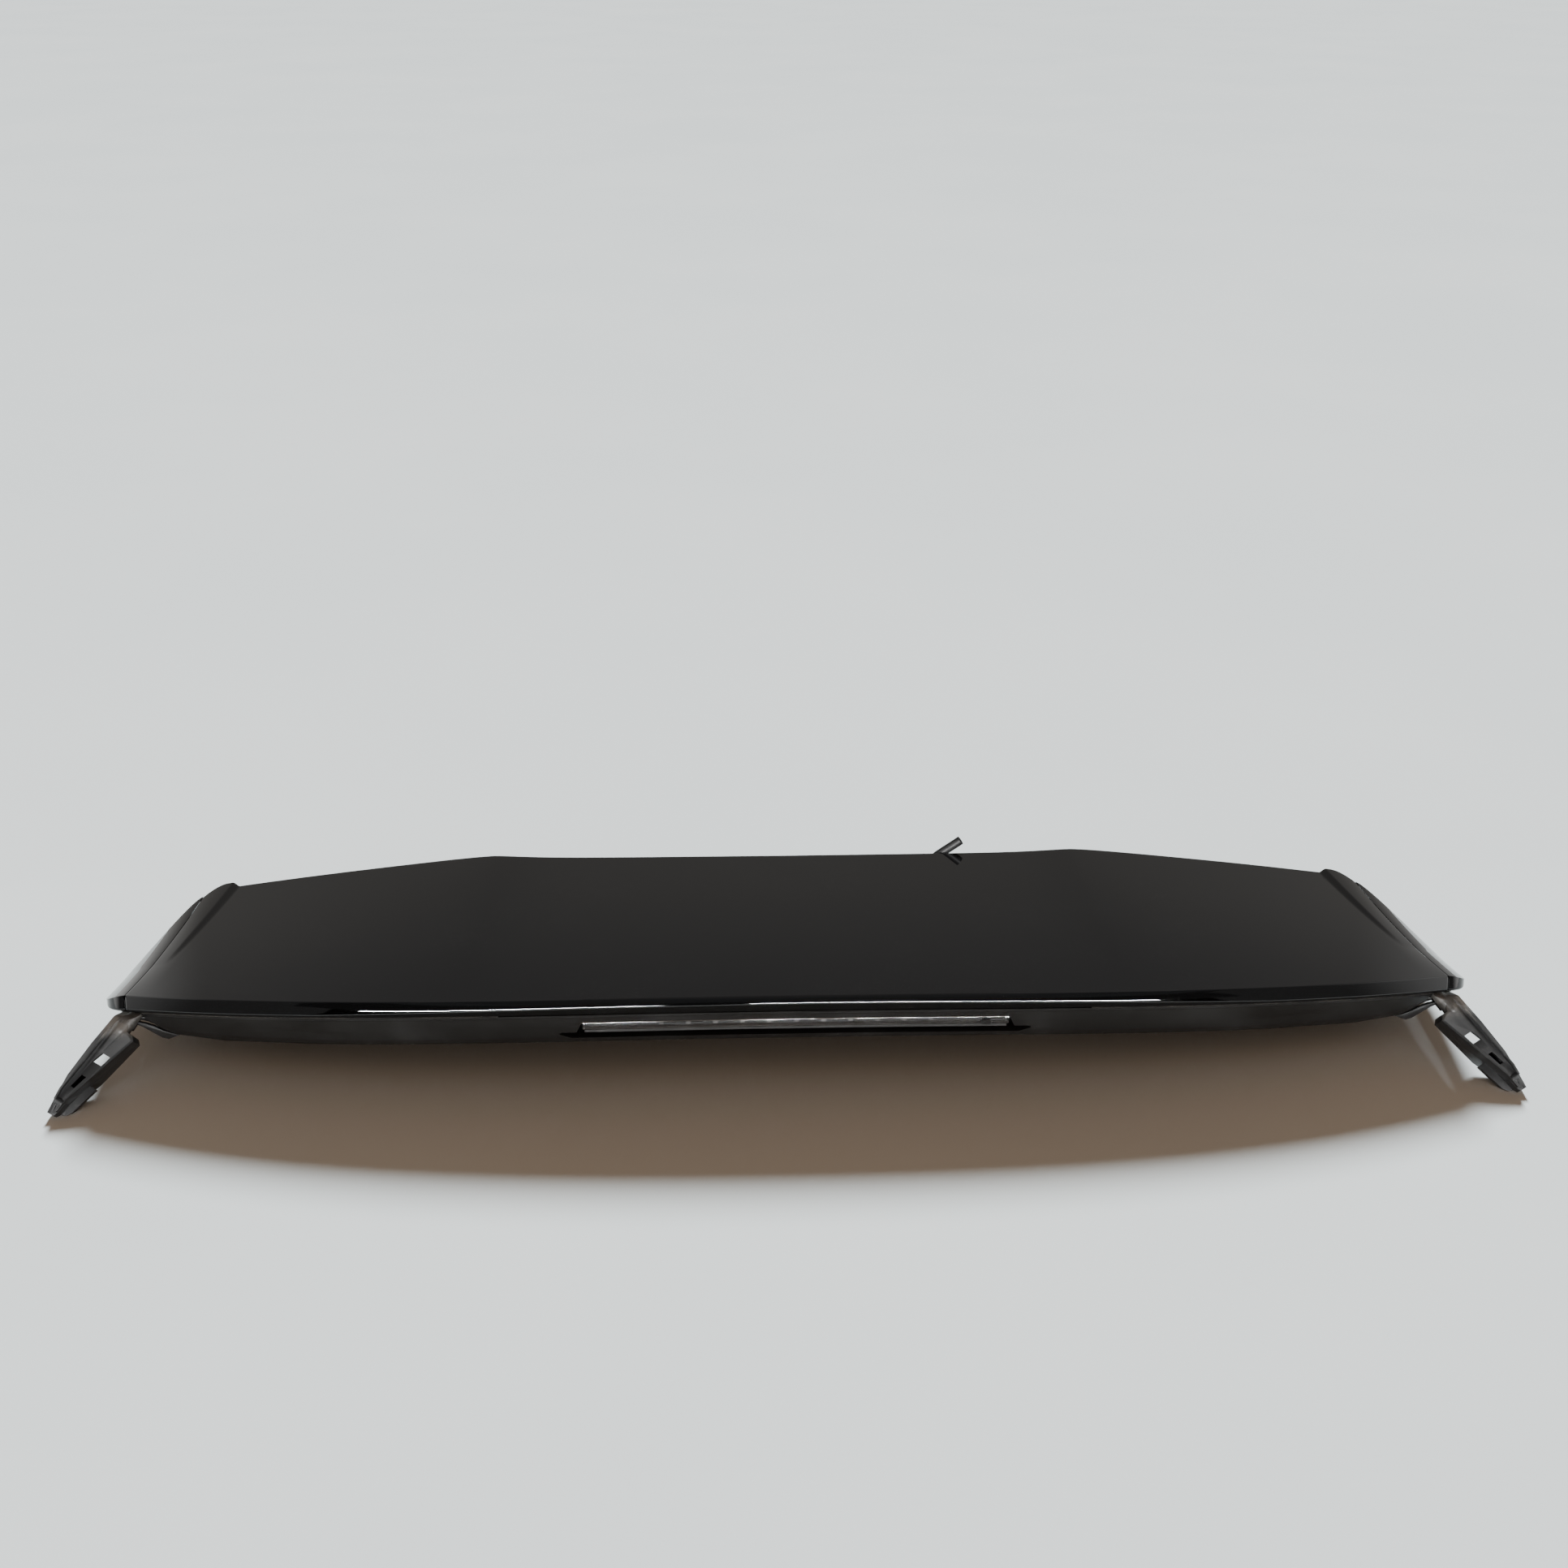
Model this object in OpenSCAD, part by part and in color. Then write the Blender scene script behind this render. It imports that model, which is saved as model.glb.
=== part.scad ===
// Tailgate spoiler: a painted top skin on a dark lower shell, with end caps, two side arms,
// a long brake lamp, a washer line and the studs that hold it to the tailgate.
// x runs across the car, y runs forward to the roof edge and z runs up.
// It stands as it would on a bench, on the two arm feet and the stud tips.

/* [Skin] */
// Width of the painted skin, seam to seam
skin_w = 1140; // [1000:5:1240]
// Wall of the painted skin
skin_t = 3; // [2.4:0.1:3.6]
// Roof edge: how far forward of the arm tips it lies
front_y = 346; // [330:1:370]
// Roof edge: its height at the middle
front_z = 29; // [28:0.5:34]
// Roof edge: how much its ends drop below the middle
front_drop = 16; // [12:0.5:17]
// Roof edge: how far its ends are swept back
front_sweep = 28; // [15:1:45]
// Plan radius of the front corners
corner_r = 20; // [12:1:26]
// How much the sides spread from the nose to the roof edge
side_flare = 10; // [4:1:12]
// Turned-down hem along the roof edge
hem_h = 5.5; // [5:0.1:6]
// Hollow of the panel, as a share of its rise
panel_sag = 0.2; // [0:0.01:0.35]

/* [Nose] */
// Nose crease: how far forward of the arm tips it lies at the middle
nose_y = 28.5; // [24:0.5:36]
// Nose crease: its height at the middle
nose_z = 94; // [90:0.5:100]
// Nose crease: how much its ends drop below the middle
nose_drop = 19; // [14:0.5:20]
// Nose crease: how far its ends are swept forward
nose_sweep = 39; // [34:0.5:44]
// Height of the rounded nose at the middle
nose_h = 16; // [15:0.5:18]
// How far the rounded nose stands out behind its crease
nose_bulge = 6; // [5:0.5:7]
// Depth of the flange that the nose turns in under itself
return_w = 12; // [9:0.5:14]

/* [Ridges and ditches] */
// Distance of each soft ridge from the middle
ridge_x = 291; // [250:1:330]
// Height of the ridges at the roof edge
ridge_h = 6.5; // [0:0.5:8]
// Distance of each side ditch from the middle, at the roof edge
ditch_x = 543; // [535:1:546]
// Height of the step at the ditch
ditch_h = 5; // [3.5:0.5:6]
// Width of the step at the ditch
ditch_w = 13; // [9:0.5:16]

/* [Lower shell] */
// Wall of the lower shell
shell_t = 2; // [1.8:0.1:2.4]
// Height of the lower rear face at the middle
face_h = 33; // [31:0.5:35]
// Undercut of the lower rear face
face_lean = 4; // [2:0.5:6]
// Open parting line between the nose and the lower shell
parting = 0.5; // [0.3:0.1:1]
// Height of the mounting land, which is the length of the studs below it
land_z = 12; // [11:0.5:12.5]
// Width of the mounting land
land_w = 54; // [46:1:62]
// Width of the flange that is bonded under the roof edge
bond_w = 26; // [22:1:30]
// Glue line between the bonded flange and the skin
bond_gap = 0.5; // [0.3:0.05:0.6]

/* [End caps] */
// Width of each end cap
cap_w = 25.5; // [20:0.5:28]
// Wall of the end caps
cap_t = 2.6; // [2:0.1:3]
// Open seam between the skin and each end cap
seam = 0.7; // [0.4:0.1:1.2]
// Height of the cap's side at the roof end
cap_h_front = 10; // [9:0.5:12]
// Height of the cap's side at the nose end
cap_h_rear = 18; // [16:0.5:20]

/* [Brake lamp] */
// Width of the lens
lens_w = 362; // [300:2:400]
// Height of the lens
lens_h = 7; // [5:0.5:8]
// Depth of the lamp pocket in the lower shell
pocket_d = 20; // [17:0.5:24]
// How far the shadow slot runs past each end of the lens
slot_end = 20; // [16:0.5:30]
// Number of light emitting diodes
led_count = 13; // [5:2:17]

/* [Washer line] */
// How far the washer nozzle stands inside the end of the lens
nozzle_in = 22; // [18:0.5:30]
// Outer diameter of the washer hose
hose_d = 9; // [7:0.5:9]
// Bore of the washer hose
hose_bore = 5; // [3:0.5:5.5]
// Length of hose that stands clear of the roof edge
hose_out = 36; // [25:1:45]
// Angle at which the hose end leans up from the roof edge
hose_rise = 38; // [20:1:60]

/* [Arms] */
// Span of the arm tips, outside to outside
feet_span = 1240; // [1225:1:1255]
// Height of the outer corner of each arm tip
tip_z = 8; // [6:0.5:10]
// Arm neck: how far inside the end of the skin it leaves the spoiler
neck_in = 1.6; // [0:0.1:3]
// Arm neck: how far forward of the arm tips it lies
neck_y = 71; // [69:0.5:73]
// Arm neck: its height
neck_z = 63.7; // [62:0.1:65]
// Twist of the arms about their length
arm_twist = 17.7; // [14:0.1:21]
// Wall of the arms
arm_t = 2.4; // [2:0.1:3]
// Length of the upper clip slot
slot1_l = 9.3; // [8:0.1:10]
// Length of the lower clip slot
slot2_l = 12; // [9:0.5:13]

/* [Fixings] */
// Diameter of the mounting studs
stud_d = 6; // [5:0.5:8]
// Diameter of the locating pins
pin_d = 8; // [6:0.5:10]
// Diameter of the screws
screw_d = 4; // [3:0.5:4.5]

/* [Hidden] */
$fn = 40;

half_skin = skin_w / 2;
half_shell = half_skin - 10;
tip_x = feet_span / 2;
slot_w = lens_w + 2 * slot_end;
nozzle_x = lens_w / 2 - nozzle_in;
lamp_screw_x = lens_w / 2 - 9;
led_pitch = 2 * (nozzle_x - 12.1) / led_count;
arm_run = [tip_x - half_skin + neck_in, neck_y, neck_z - tip_z];
arm_l = norm(arm_run);
arm_dive = asin(arm_run[2] / arm_l);
arm_splay = atan2(arm_run[0], arm_run[1]);
origin_y = 177.124;
paint = [0.05, 0.05, 0.055];
satin = [0.2, 0.2, 0.21];
black = [0.09, 0.09, 0.095];

// Helpers for curves and lofts
function clamp01(v) = max(0, min(1, v));
function ease(v) = let(c = clamp01(v)) c * c * (3 - 2 * c);
function spread(a, b, n) = [for (i = [0 : n - 1]) a + (b - a) * i / n];
function both_sides(h) = concat([for (i = [len(h) - 1 : -1 : 1]) -h[i]], h);
function reversed(p) = [for (i = [len(p) - 1 : -1 : 0]) p[i]];
function unit(v) = v / norm(v);
function left_of(v) = [-v[1], v[0]];
function offset_path(p, d) = [
    for (i = [0 : len(p) - 1])
        let(
            a = unit(i == 0 ? p[1] - p[0] : p[i] - p[i - 1]),
            b = i == len(p) - 1 ? a : unit(p[i + 1] - p[i]),
            n = left_of(a) + left_of(b)
        ) p[i] + n * (2 * d / max(n * n, 0.8))
];
function wall_ring(p, d) = concat(p, reversed(offset_path(p, d)));
// Rings stand across the car; the flare moves them outward towards the roof edge
flare_y = 200;
function flare_at(y) = 1 + side_flare / 230 * (y - flare_y) / half_skin;
function flared(x, y) = x * flare_at(y);
function at_x(x, p) = [for (q = p) [flared(x, q[0]), q[0], q[1]]];

module loft(rings) {
    n = len(rings[0]);
    m = len(rings);
    polyhedron(
        points = [for (r = rings) each r],
        faces = concat(
            [[for (i = [0 : n - 1]) i]],
            [[for (i = [n - 1 : -1 : 0]) (m - 1) * n + i]],
            [for (k = [0 : m - 2], i = [0 : n - 1]) let(j = (i + 1) % n) [k * n + i, (k + 1) * n + j, k * n + j]],
            [for (k = [0 : m - 2], i = [0 : n - 1]) let(j = (i + 1) % n)
                [k * n + i, (k + 1) * n + i, (k + 1) * n + j]]
        )
    );
}

// The form of the skin: its edges in plan and height, then the panel between them
function across(x) = abs(x) / half_skin;
function nose_y_at(x) = nose_y + nose_sweep * pow(across(x), 3.2);
function nose_z_at(x) = nose_z - nose_drop * pow(across(x), 2.2);
function nose_h_at(x) = nose_h + 2.5 * pow(across(x), 2);
function lip_y_at(x) = nose_y_at(x) + 1.5;
function lip_z_at(x) = nose_z_at(x) - nose_h_at(x);
function front_y_at(x) = front_y
    - front_sweep * pow(clamp01((abs(x) - ridge_x) / (half_skin - ridge_x)), 1.25)
    - corner_r * pow(clamp01((abs(x) - half_skin) / corner_r + 1), 2);
function front_z_at(x) = front_z - front_drop * pow(across(x), 3);
function ridge_side(x) = abs(x) < ridge_x ? 50 : 110;
function ridge_at(x) = ridge_h / (1 + pow(abs(abs(x) - ridge_x) / ridge_side(x), 1.6));
function ditch_at(x, t) = ditch_h * pow(clamp01(1 - t / 0.8), 0.8)
    * ease((abs(x) - ditch_x - 22 * t) / ditch_w + 0.5);
function skin_z(x, y) =
    let(
        f = front_y_at(x),
        t = clamp01((f - y) / (f - nose_y_at(x))),
        a = front_z_at(x)
    ) a + (nose_z_at(x) - a) * ((1 - panel_sag) * t + panel_sag * t * t)
        + ridge_at(x) * pow(1 - t, 1.3) + ditch_at(x, t);

edge_r = 3.6;
panel_rows = 12;
function skin_path(x) =
    let(
        f = front_y_at(x),
        zf = skin_z(x, f),
        n = nose_y_at(x),
        zn = nose_z_at(x),
        h = nose_h_at(x)
    ) concat(
        [[f, zf - hem_h], [f, zf - edge_r], [f - edge_r * 0.3, zf - edge_r * 0.3]],
        [for (i = [0 : panel_rows]) let(y = f - edge_r + (n - f + edge_r) * i / panel_rows) [y, skin_z(x, y)]],
        [for (k = [1 : 6]) let(a = k / 7) [n + 1.5 * a - nose_bulge * sin(180 * a), zn - h * (1 - cos(180 * a)) / 2]],
        [[n + 1.5, zn - h], [n + 1.5 + return_w, zn - h]]
    );
half_stations = concat(
    spread(0, ridge_x - 40, 5),
    spread(ridge_x - 40, ridge_x + 40, 4),
    spread(ridge_x + 40, ditch_x - 10, 5),
    spread(ditch_x - 10, ditch_x + 17, 4),
    [ditch_x + 17],
    [half_skin]
);

// Screw bosses under the skin, from just above the lower shell up into the skin's wall
boss_d = screw_d + 5;
boss_root = 1.2;
module skin_boss(x, y, z_low) {
    difference() {
        translate([x, y, z_low]) cylinder(d = boss_d, h = skin_z(x, y) - skin_t + boss_root - z_low);
        translate([x, y, z_low - 1]) cylinder(d = screw_d + 2 * fit, h = screw_l + 2);
    }
}

module top_skin() {
    color(paint) {
        loft([for (x = both_sides(half_stations)) at_x(x, wall_ring(skin_path(x), skin_t))]);
        for (x = shell_screw_x) skin_boss(x, land_mid(x), land_z_at(x) + shell_t + fit);
        for (s = [-1, 1], y = arm_screw_y)
            skin_boss(s * arm_screw_x, y, shell_low_z(arm_screw_x / flare_at(y), y) + shell_t + 2.2);
    }
}

// The lower shell: bead, rear face, lamp pocket, underside, land, riser and bonded flange
function face_h_at(x) = face_h - 20 * pow(min(1, abs(x) / (half_shell - 3)), 30);
function face_y(x, drop) = lip_y_at(x) + 1.6 + (face_lean - 1.6) * drop / face_h;
function ledge_drop(x) = 8
    + (13 * pow(clamp01((half_shell - abs(x)) / 160), 2) - 3.4) * ease((abs(x) - ridge_x) / 40);
function ledge_in(x) = 1.8 * ease((abs(x) - half_shell + 170) / 80);
function between(x, share) = ledge_drop(x) + 1.4 + (face_h_at(x) - ledge_drop(x) - 5) * share;
function pocket_top(x) = abs(x) > slot_w / 2 ? between(x, 0.35)
    : slot_drop - (slot_drop - lens_drop) * clamp01((lens_w / 2 + 5.5 - abs(x)) / 5);
function pocket_low(x) = abs(x) > slot_w / 2 ? between(x, 0.7)
    : slot_drop + slot_h * clamp01((slot_w / 2 - abs(x)) / 8 + 0.4);
function pocket_in(x) = pocket_d * clamp01((slot_w / 2 - abs(x)) / 10);
function land_z_at(x) = land_z - 3 * ease((abs(x) - half_skin + 78) / 60);
function flange_z(x, y) = skin_z(x, y) - skin_t - bond_gap - shell_t;
lens_drop = 10;
slot_drop = 20.8;
slot_h = 6;
under_rows = 5;
function shell_path(x) =
    let(
        l = lip_y_at(x),
        z = lip_z_at(x) - parting,
        d = ledge_drop(x),
        p = pocket_in(x),
        b = face_h_at(x),
        f = front_y_at(x),
        land = land_z_at(x),
        yb = face_y(x, b),
        yl = f - bond_w - land_w - 4
    ) concat(
        [[l + return_w, z], [l + 3.2, z], [l + 0.4, z - 1], [l + 0.4, z - 2.6], [face_y(x, 4), z - 4]],
        [[face_y(x, d), z - d], [face_y(x, d) + ledge_in(x), z - d - 1.2]],
        [[face_y(x, pocket_top(x)) + ledge_in(x), z - pocket_top(x)]],
        [for (s = [0.02, 0.98]) let(drop = pocket_top(x) + (pocket_low(x) - pocket_top(x)) * s)
            [p > 0 ? face_y(x, lens_drop) + p : face_y(x, drop) + ledge_in(x), z - drop]],
        [[face_y(x, pocket_low(x)) + ledge_in(x), z - pocket_low(x)]],
        [[yb + ledge_in(x), z - b + 3.4], [yb + ledge_in(x) + 1, z - b + 1], [yb + ledge_in(x) + 3.4, z - b]],
        [for (i = [1 : under_rows]) let(s = i / under_rows)
            [yb + 6 + (yl - yb - 6) * s, z - b + (land - z + b) * pow(s, 1.2)]],
        [[f - bond_w - 4, land]],
        [for (y = [f - bond_w, f - bond_w / 2, f - skin_t - 2]) [y, flange_z(x, y)]]
    );
lamp_stations = [lens_w / 2 + 0.5, lens_w / 2 + 5.5, slot_w / 2 - 10, slot_w / 2];
shell_half = concat(
    spread(0, lens_w / 2 + 0.5, 3),
    lamp_stations,
    [for (x = half_stations) if (x > slot_w / 2 + 5 && x < half_shell - 2) x],
    [half_shell]
);

// Underside of the lower shell, between the rear face and the land
function shell_low_z(x, y) =
    let(
        z = lip_z_at(x) - parting - face_h_at(x),
        y0 = face_y(x, face_h_at(x)) + 6,
        y1 = front_y_at(x) - bond_w - land_w - 4
    ) z + (land_z_at(x) - z) * pow(clamp01((y - y0) / (y1 - y0)), 1.2);

// Middle of the mounting land
function land_mid(x) = front_y_at(x) - bond_w - 4 - land_w / 2;

module lower_shell() {
    color(satin)
        difference() {
            loft([for (x = both_sides(shell_half)) at_x(x, wall_ring(shell_path(x), shell_t))]);
            for (x = shell_screw_x) translate([x, land_mid(x), 0]) cylinder(d = screw_d + 2 * fit, h = 2 * land_z);
            for (x = stud_x) translate([x, land_mid(x), 0]) cylinder(d = neck_d + 2 * fit, h = 2 * land_z);
            for (s = [-1, 1], y = arm_screw_y) translate([s * arm_screw_x, y, 0]) cylinder(d = screw_d + 2 * fit, h = 60);
            for (x = pin_x) translate([x, land_mid(x), 0]) cylinder(d = pin_d / 2 + 2 * fit, h = 2 * land_z);
            translate([hose_x, front_y - bond_w - 20, hose_z]) rotate([-90, 0, 0]) cylinder(d = hose_d + 2 * fit, h = 30);
            translate([nozzle_x, lamp_back(nozzle_x), nozzle_z])
                rotate([-90, 0, 0]) cylinder(d = nozzle_d + 2 * fit, h = 10);
            for (s = [-1, 1]) translate([s * lamp_screw_x, lamp_back(lamp_screw_x), lens_z(lamp_screw_x)])
                rotate([-90, 0, 0]) cylinder(d = screw_d + 2 * fit, h = 10);
            translate([-plug_w / 2 - fit - plug_x, lamp_back(plug_x), lens_z(plug_x) - plug_h / 2 - fit])
                cube([plug_w + 2 * fit, 10, plug_h + 2 * fit]);
        }
}

// End caps: a thin cup that closes the side of the skin, drawn for the right side and mirrored
function cap_e(x) = (abs(x) - half_skin) / cap_w;
function cap_rear(x) = nose_y_at(half_skin) + 20.7 * pow(cap_e(x), 3.5);
function cap_front(x) = front_y_at(half_skin) - 160 * pow(cap_e(x), 1.6);
function cap_top(x, y) = skin_z(half_skin, y) - 11.5 * pow(cap_e(x), 1.85);
function cap_share(y) = clamp01((front_y_at(half_skin) - y) / (front_y_at(half_skin) - nose_y_at(half_skin)));
function cap_low(x, y) = skin_z(half_skin, y) - cap_h_front - (cap_h_rear - cap_h_front) * cap_share(y)
    + 3 * pow(cap_e(x) * cap_share(y), 2);
cap_rows = 9;
function cap_ring(x) =
    let(f = cap_front(x), r = cap_rear(x), bulge = nose_bulge * (1 - pow(cap_e(x), 2)), h = cap_top(x, r) - cap_low(x, r))
    concat(
        [for (i = [0 : cap_rows]) let(y = f + (r - f) * i / cap_rows) [y, cap_top(x, y)]],
        [for (k = [1 : 4]) let(a = k / 5) [r + 1.5 * a - bulge * sin(180 * a), cap_top(x, r) - h * (1 - cos(180 * a)) / 2]],
        [for (i = [0 : cap_rows]) let(y = r + 1.5 + (f - r - 1.5) * i / cap_rows) [y, cap_low(x, y)]]
    );
function ring_in(p, d) = let(m = len(p)) [
    for (i = [0 : m - 1])
        let(a = unit(p[i] - p[(i + m - 1) % m]), b = unit(p[(i + 1) % m] - p[i]), n = left_of(a) + left_of(b))
        p[i] + n * (2 * d / max(n * n, 0.8))
];
cap_outer = [1, 0.97, 0.9, 0.8, 0.68, 0.54, 0.38, 0.2, 0.08, 0];
cap_inner = [0, 0.2, 0.45, 0.64];
cap_screw_y = [120, 150];
function cap_screw_z(y) = cap_low(half_skin, y) + 5.6;

module cap() {
    inside = half_skin + seam;
    difference() {
        union() {
            loft(concat(
                [for (e = cap_outer) let(x = max(inside, half_skin + e * cap_w)) reversed(at_x(x, cap_ring(x)))],
                [for (e = cap_inner) let(x = max(inside, half_skin + e * cap_w))
                    reversed(at_x(x, ring_in(cap_ring(x), cap_t)))]
            ));
            for (y = cap_screw_y) translate([arm_root_x + arm_t + fit, y, cap_screw_z(y)])
                rotate([0, 90, 0]) cylinder(d = boss_d, h = flared(half_skin + 0.4 * cap_w, y) - arm_root_x - arm_t);
        }
        for (y = cap_screw_y) translate([arm_root_x, y, cap_screw_z(y)])
            rotate([0, 90, 0]) cylinder(d = screw_d + 2 * fit, h = screw_l);
    }
}

module end_cap_right() color(paint) cap();
module end_cap_left() color(paint) mirror([1, 0, 0]) cap();

// Arms: u runs along the arm to its tip, v runs outward and n stands off the web
module arm_frame() {
    translate([tip_x, 0, tip_z]) rotate([arm_twist, arm_dive, arm_splay - 90]) children();
}
module slab(outline, n_low, n_high) {
    translate([0, 0, n_low]) linear_extrude(n_high - n_low) polygon(outline);
}
stretch = arm_l / 104;
function along(p) = [for (q = p) [q[0] * stretch, q[1]]];
arm_outer = along([[-104, 0.5], [-95.5, 1.6], [-63.4, 4.3], [-33, 5.1], [-13.5, 2.4], [0, 0]]);
arm_rib = along([[-104, -6], [-81, -4.6], [-50, -2.4], [-21.4, -0.2], [-12, -1.6]]);
arm_inner = along([[-85.5, -17.5], [-85, -23.5], [-81.5, -27.2], [-16, -8.4], [-4, -7.4]]);
foot_end = [[0, -6.2], [0, 0]];
web_top = [[-84, -6], [-84.5, -18]];
rib_h = 3;
wall_low = -24;
neck_u = -84.5 * stretch;
slot1_u = -61.3 * stretch;
slot2_u = -38.6 * stretch;

module arm_channel() {
    difference() {
        union() {
            slab(concat(arm_inner, reversed(arm_rib)), -arm_t, 0);
            slab(concat(arm_outer, [[-3, -4]], reversed(arm_rib)), -1.5 - arm_t, -1.5);
            slab(concat(arm_rib, [for (q = reversed(arm_rib)) q + [0, 1.8]]), -arm_t - 1.5, rib_h);
            slab(concat(arm_outer, [for (q = reversed(arm_outer)) q - [0, arm_t]]), -12, -1.5);
            intersection() {
                slab(concat(arm_inner, [for (q = reversed(arm_inner)) q + [q[0] < -82 * stretch ? arm_t : 0.8, arm_t]]), wall_low, 0.6);
                translate([0, -40, 0]) rotate([90, 0, 180])
                    linear_extrude(60)
                    polygon(along([[90, 1], [90, -13], [80, -14], [38.5, -22.5], [9, -18.5], [0, -15], [0, 1]]));
            }
            translate([-12, -8, -1.6]) rotate([-90, 0, 0]) cylinder(r = 3.2, h = 7);
            slab([[-13, 2.4], [0, 0], [0, -6.2], [-4, -7.6], [-13, -8.6]], -13, -2.2);
            slab([[-34, -13], [-4, -6], [-2.5, -10.5], [-9, -14.5], [-34, -20]], -13, -9.5);
            translate([neck_u - 27.5, -10.6, -5.4]) rotate([0, 90, 0]) cylinder(r = 6.2, h = 28);
            translate([neck_u, -10.6, -5.4]) sphere(r = 6.4);
            slab(along([[-112, -4], [-112, 0.4], [-82, 2.6], [-82, -4]]), -11, -1.5);
        }
        slab([[slot1_u, -10.3], [slot1_u, -18.4], [slot1_u + slot1_l, -16.6], [slot1_u + slot1_l, -7.2]], -10, 5);
        slab([[slot2_u, -6.6], [slot2_u, -11], [slot2_u + slot2_l, -7.9], [slot2_u + slot2_l, -4]], -10, 5);
    }
}

// The root is the part of the arm that runs forward inside the end of the skin
arm_root_x = half_shell + 1;
arm_root_end = 172;
arm_screw_x = half_shell - 24;
arm_screw_y = [90, 114];
tongue_y = 70;
tongue_l = 54;
tongue_fall = 10.8;
tongue_gap = 1.2;
tongue_low = [[2, 42], [-2.5, 39.5], [-17, 27.5], [-22, 25.8], [-28.5, 28.6]];
tongue_top = concat(
    [for (x = shell_half) if (x > half_shell - 30)
        [flared(x, tongue_y), lip_z_at(x) - parting - face_h_at(x) - tongue_gap]],
    [[arm_root_x + arm_t / 2, lip_z_at(half_shell) - parting - face_h_at(half_shell) + 1]]
);
function arm_foot_z(y) = cap_low(half_skin, y) - 3;
function arm_screw_z(y) = lookup(arm_screw_x, tongue_top) - arm_t - 0.2 - (y - tongue_y) * tan(tongue_fall);
module arm() {
    cut_z = lip_z_at(half_skin) - parting;
    cut_y = nose_y_at(half_skin) - 2;
    intersection() {
        difference() {
            arm_frame() arm_channel();
            translate([half_shell - 45, tongue_y - 8, cut_z - 12]) cube([40, 60, 30]);
        }
        translate([half_skin - 60, 0, 0]) rotate([90, 0, 90]) linear_extrude(tip_x - half_skin + 100)
            polygon([[-40, 0], [-40, cut_z], [cut_y, cut_z], [cut_y + 40, cap_low(half_skin, cut_y + 40) - 1], [120, 0]]);
    }
    ys = [for (i = [0 : 4]) nose_y_at(half_skin) + 15 + (arm_root_end - nose_y_at(half_skin) - 15) * i / 4];
    difference() {
        union() {
            translate([arm_root_x, 0, 0]) rotate([90, 0, 90]) linear_extrude(arm_t)
                polygon(concat(
                    [[60, cut_z - 13], [60, cut_z], [ys[0] - 1, cut_z]],
                    [for (y = ys) [y, skin_z(half_skin, y) - skin_t - 1.5]],
                    [[arm_root_end, arm_foot_z(arm_root_end)]]
                ));
            translate([0, tongue_y, 0]) rotate([90, 0, 0]) translate([0, 0, -arm_t]) linear_extrude(arm_t)
                polygon(concat(tongue_top, [for (q = tongue_low) [half_shell + q[0], q[1]]]));
            translate([0, tongue_y, 0]) rotate([90 - tongue_fall, 0, 0]) translate([0, 0, -tongue_l]) linear_extrude(tongue_l)
                polygon(concat(tongue_top, [for (q = reversed(tongue_top)) q - [0, arm_t + 0.4]]));
        }
        for (y = arm_screw_y) translate([arm_screw_x, y, 0]) {
            cylinder(d = screw_d + 2 * fit, h = 100);
            cylinder(d = 2 * screw_d + 1, h = arm_screw_z(y));
        }
        for (y = cap_screw_y) translate([arm_root_x - 5, y, cap_screw_z(y)])
            rotate([0, 90, 0]) cylinder(d = screw_d + 2 * fit, h = 20);
    }
}
module arm_right() color(black) arm();
module arm_left() color(black) mirror([1, 0, 0]) arm();

// Screws: a pan head, a shank and the head's seat at the origin, pointing up
fit = 0.15;
screw_l = 16;
head_h = 2.6;
module screw(length) {
    cylinder(d = screw_d, h = length);
    translate([0, 0, -head_h]) cylinder(d1 = screw_d * 1.5, d2 = screw_d * 2, h = head_h);
}
shell_screw_x = [-480, -340, -200, -60, 60, 200, 340, 480];
module shell_screws() {
    color("dimgray")
        for (x = shell_screw_x) translate([x, land_mid(x), land_z_at(x) - 0.05]) screw(screw_l);
}
module arm_screws() {
    color("dimgray")
        for (s = [-1, 1], y = arm_screw_y) translate([s * arm_screw_x, y, arm_screw_z(y) - 0.05]) screw(screw_l);
}
module cap_screws() {
    color("dimgray")
        for (s = [-1, 1], y = cap_screw_y) translate([s * arm_root_x, y, cap_screw_z(y)])
            rotate([0, s * 90, 0]) screw(screw_l - 1);
}

// Brake lamp: everything follows the crown of the nose
function lens_z(x) = lip_z_at(x) - parting - lens_drop - lens_h / 2 - 0.4;
function lamp_face(x) = face_y(x, lens_drop);
function lamp_back(x) = lamp_face(x) + pocket_d - 0.6;
function span_stations(half, count) = both_sides([for (i = [0 : count]) half * i / count]);
housing_t = 1.6;
function housing_ring(x) =
    let(f = lamp_face(x), b = lamp_back(x), t = lens_z(x) + lens_h / 2, l = lens_z(x) - lens_h / 2 - 3)
    [[f + 0.4, l], [b, l], [b, t], [f + 2.8, t], [f + 2.8, t - 1.2], [b - housing_t, t - 1.2],
        [b - housing_t, l + 2.4], [f + 0.4, l + 2.4]];
module lamp_housing() {
    color(black)
        difference() {
            loft([for (x = span_stations(lens_w / 2 - 1.5, 4)) at_x(x, housing_ring(x))]);
            translate([nozzle_x, lamp_back(nozzle_x) - 5, nozzle_z])
                rotate([-90, 0, 0]) cylinder(d = nozzle_d + 2 * fit, h = 10);
            for (s = [-1, 1]) translate([s * lamp_screw_x, lamp_back(lamp_screw_x) - 5, lens_z(lamp_screw_x)])
                rotate([-90, 0, 0]) cylinder(d = screw_d + 2 * fit, h = 10);
        }
}
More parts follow.
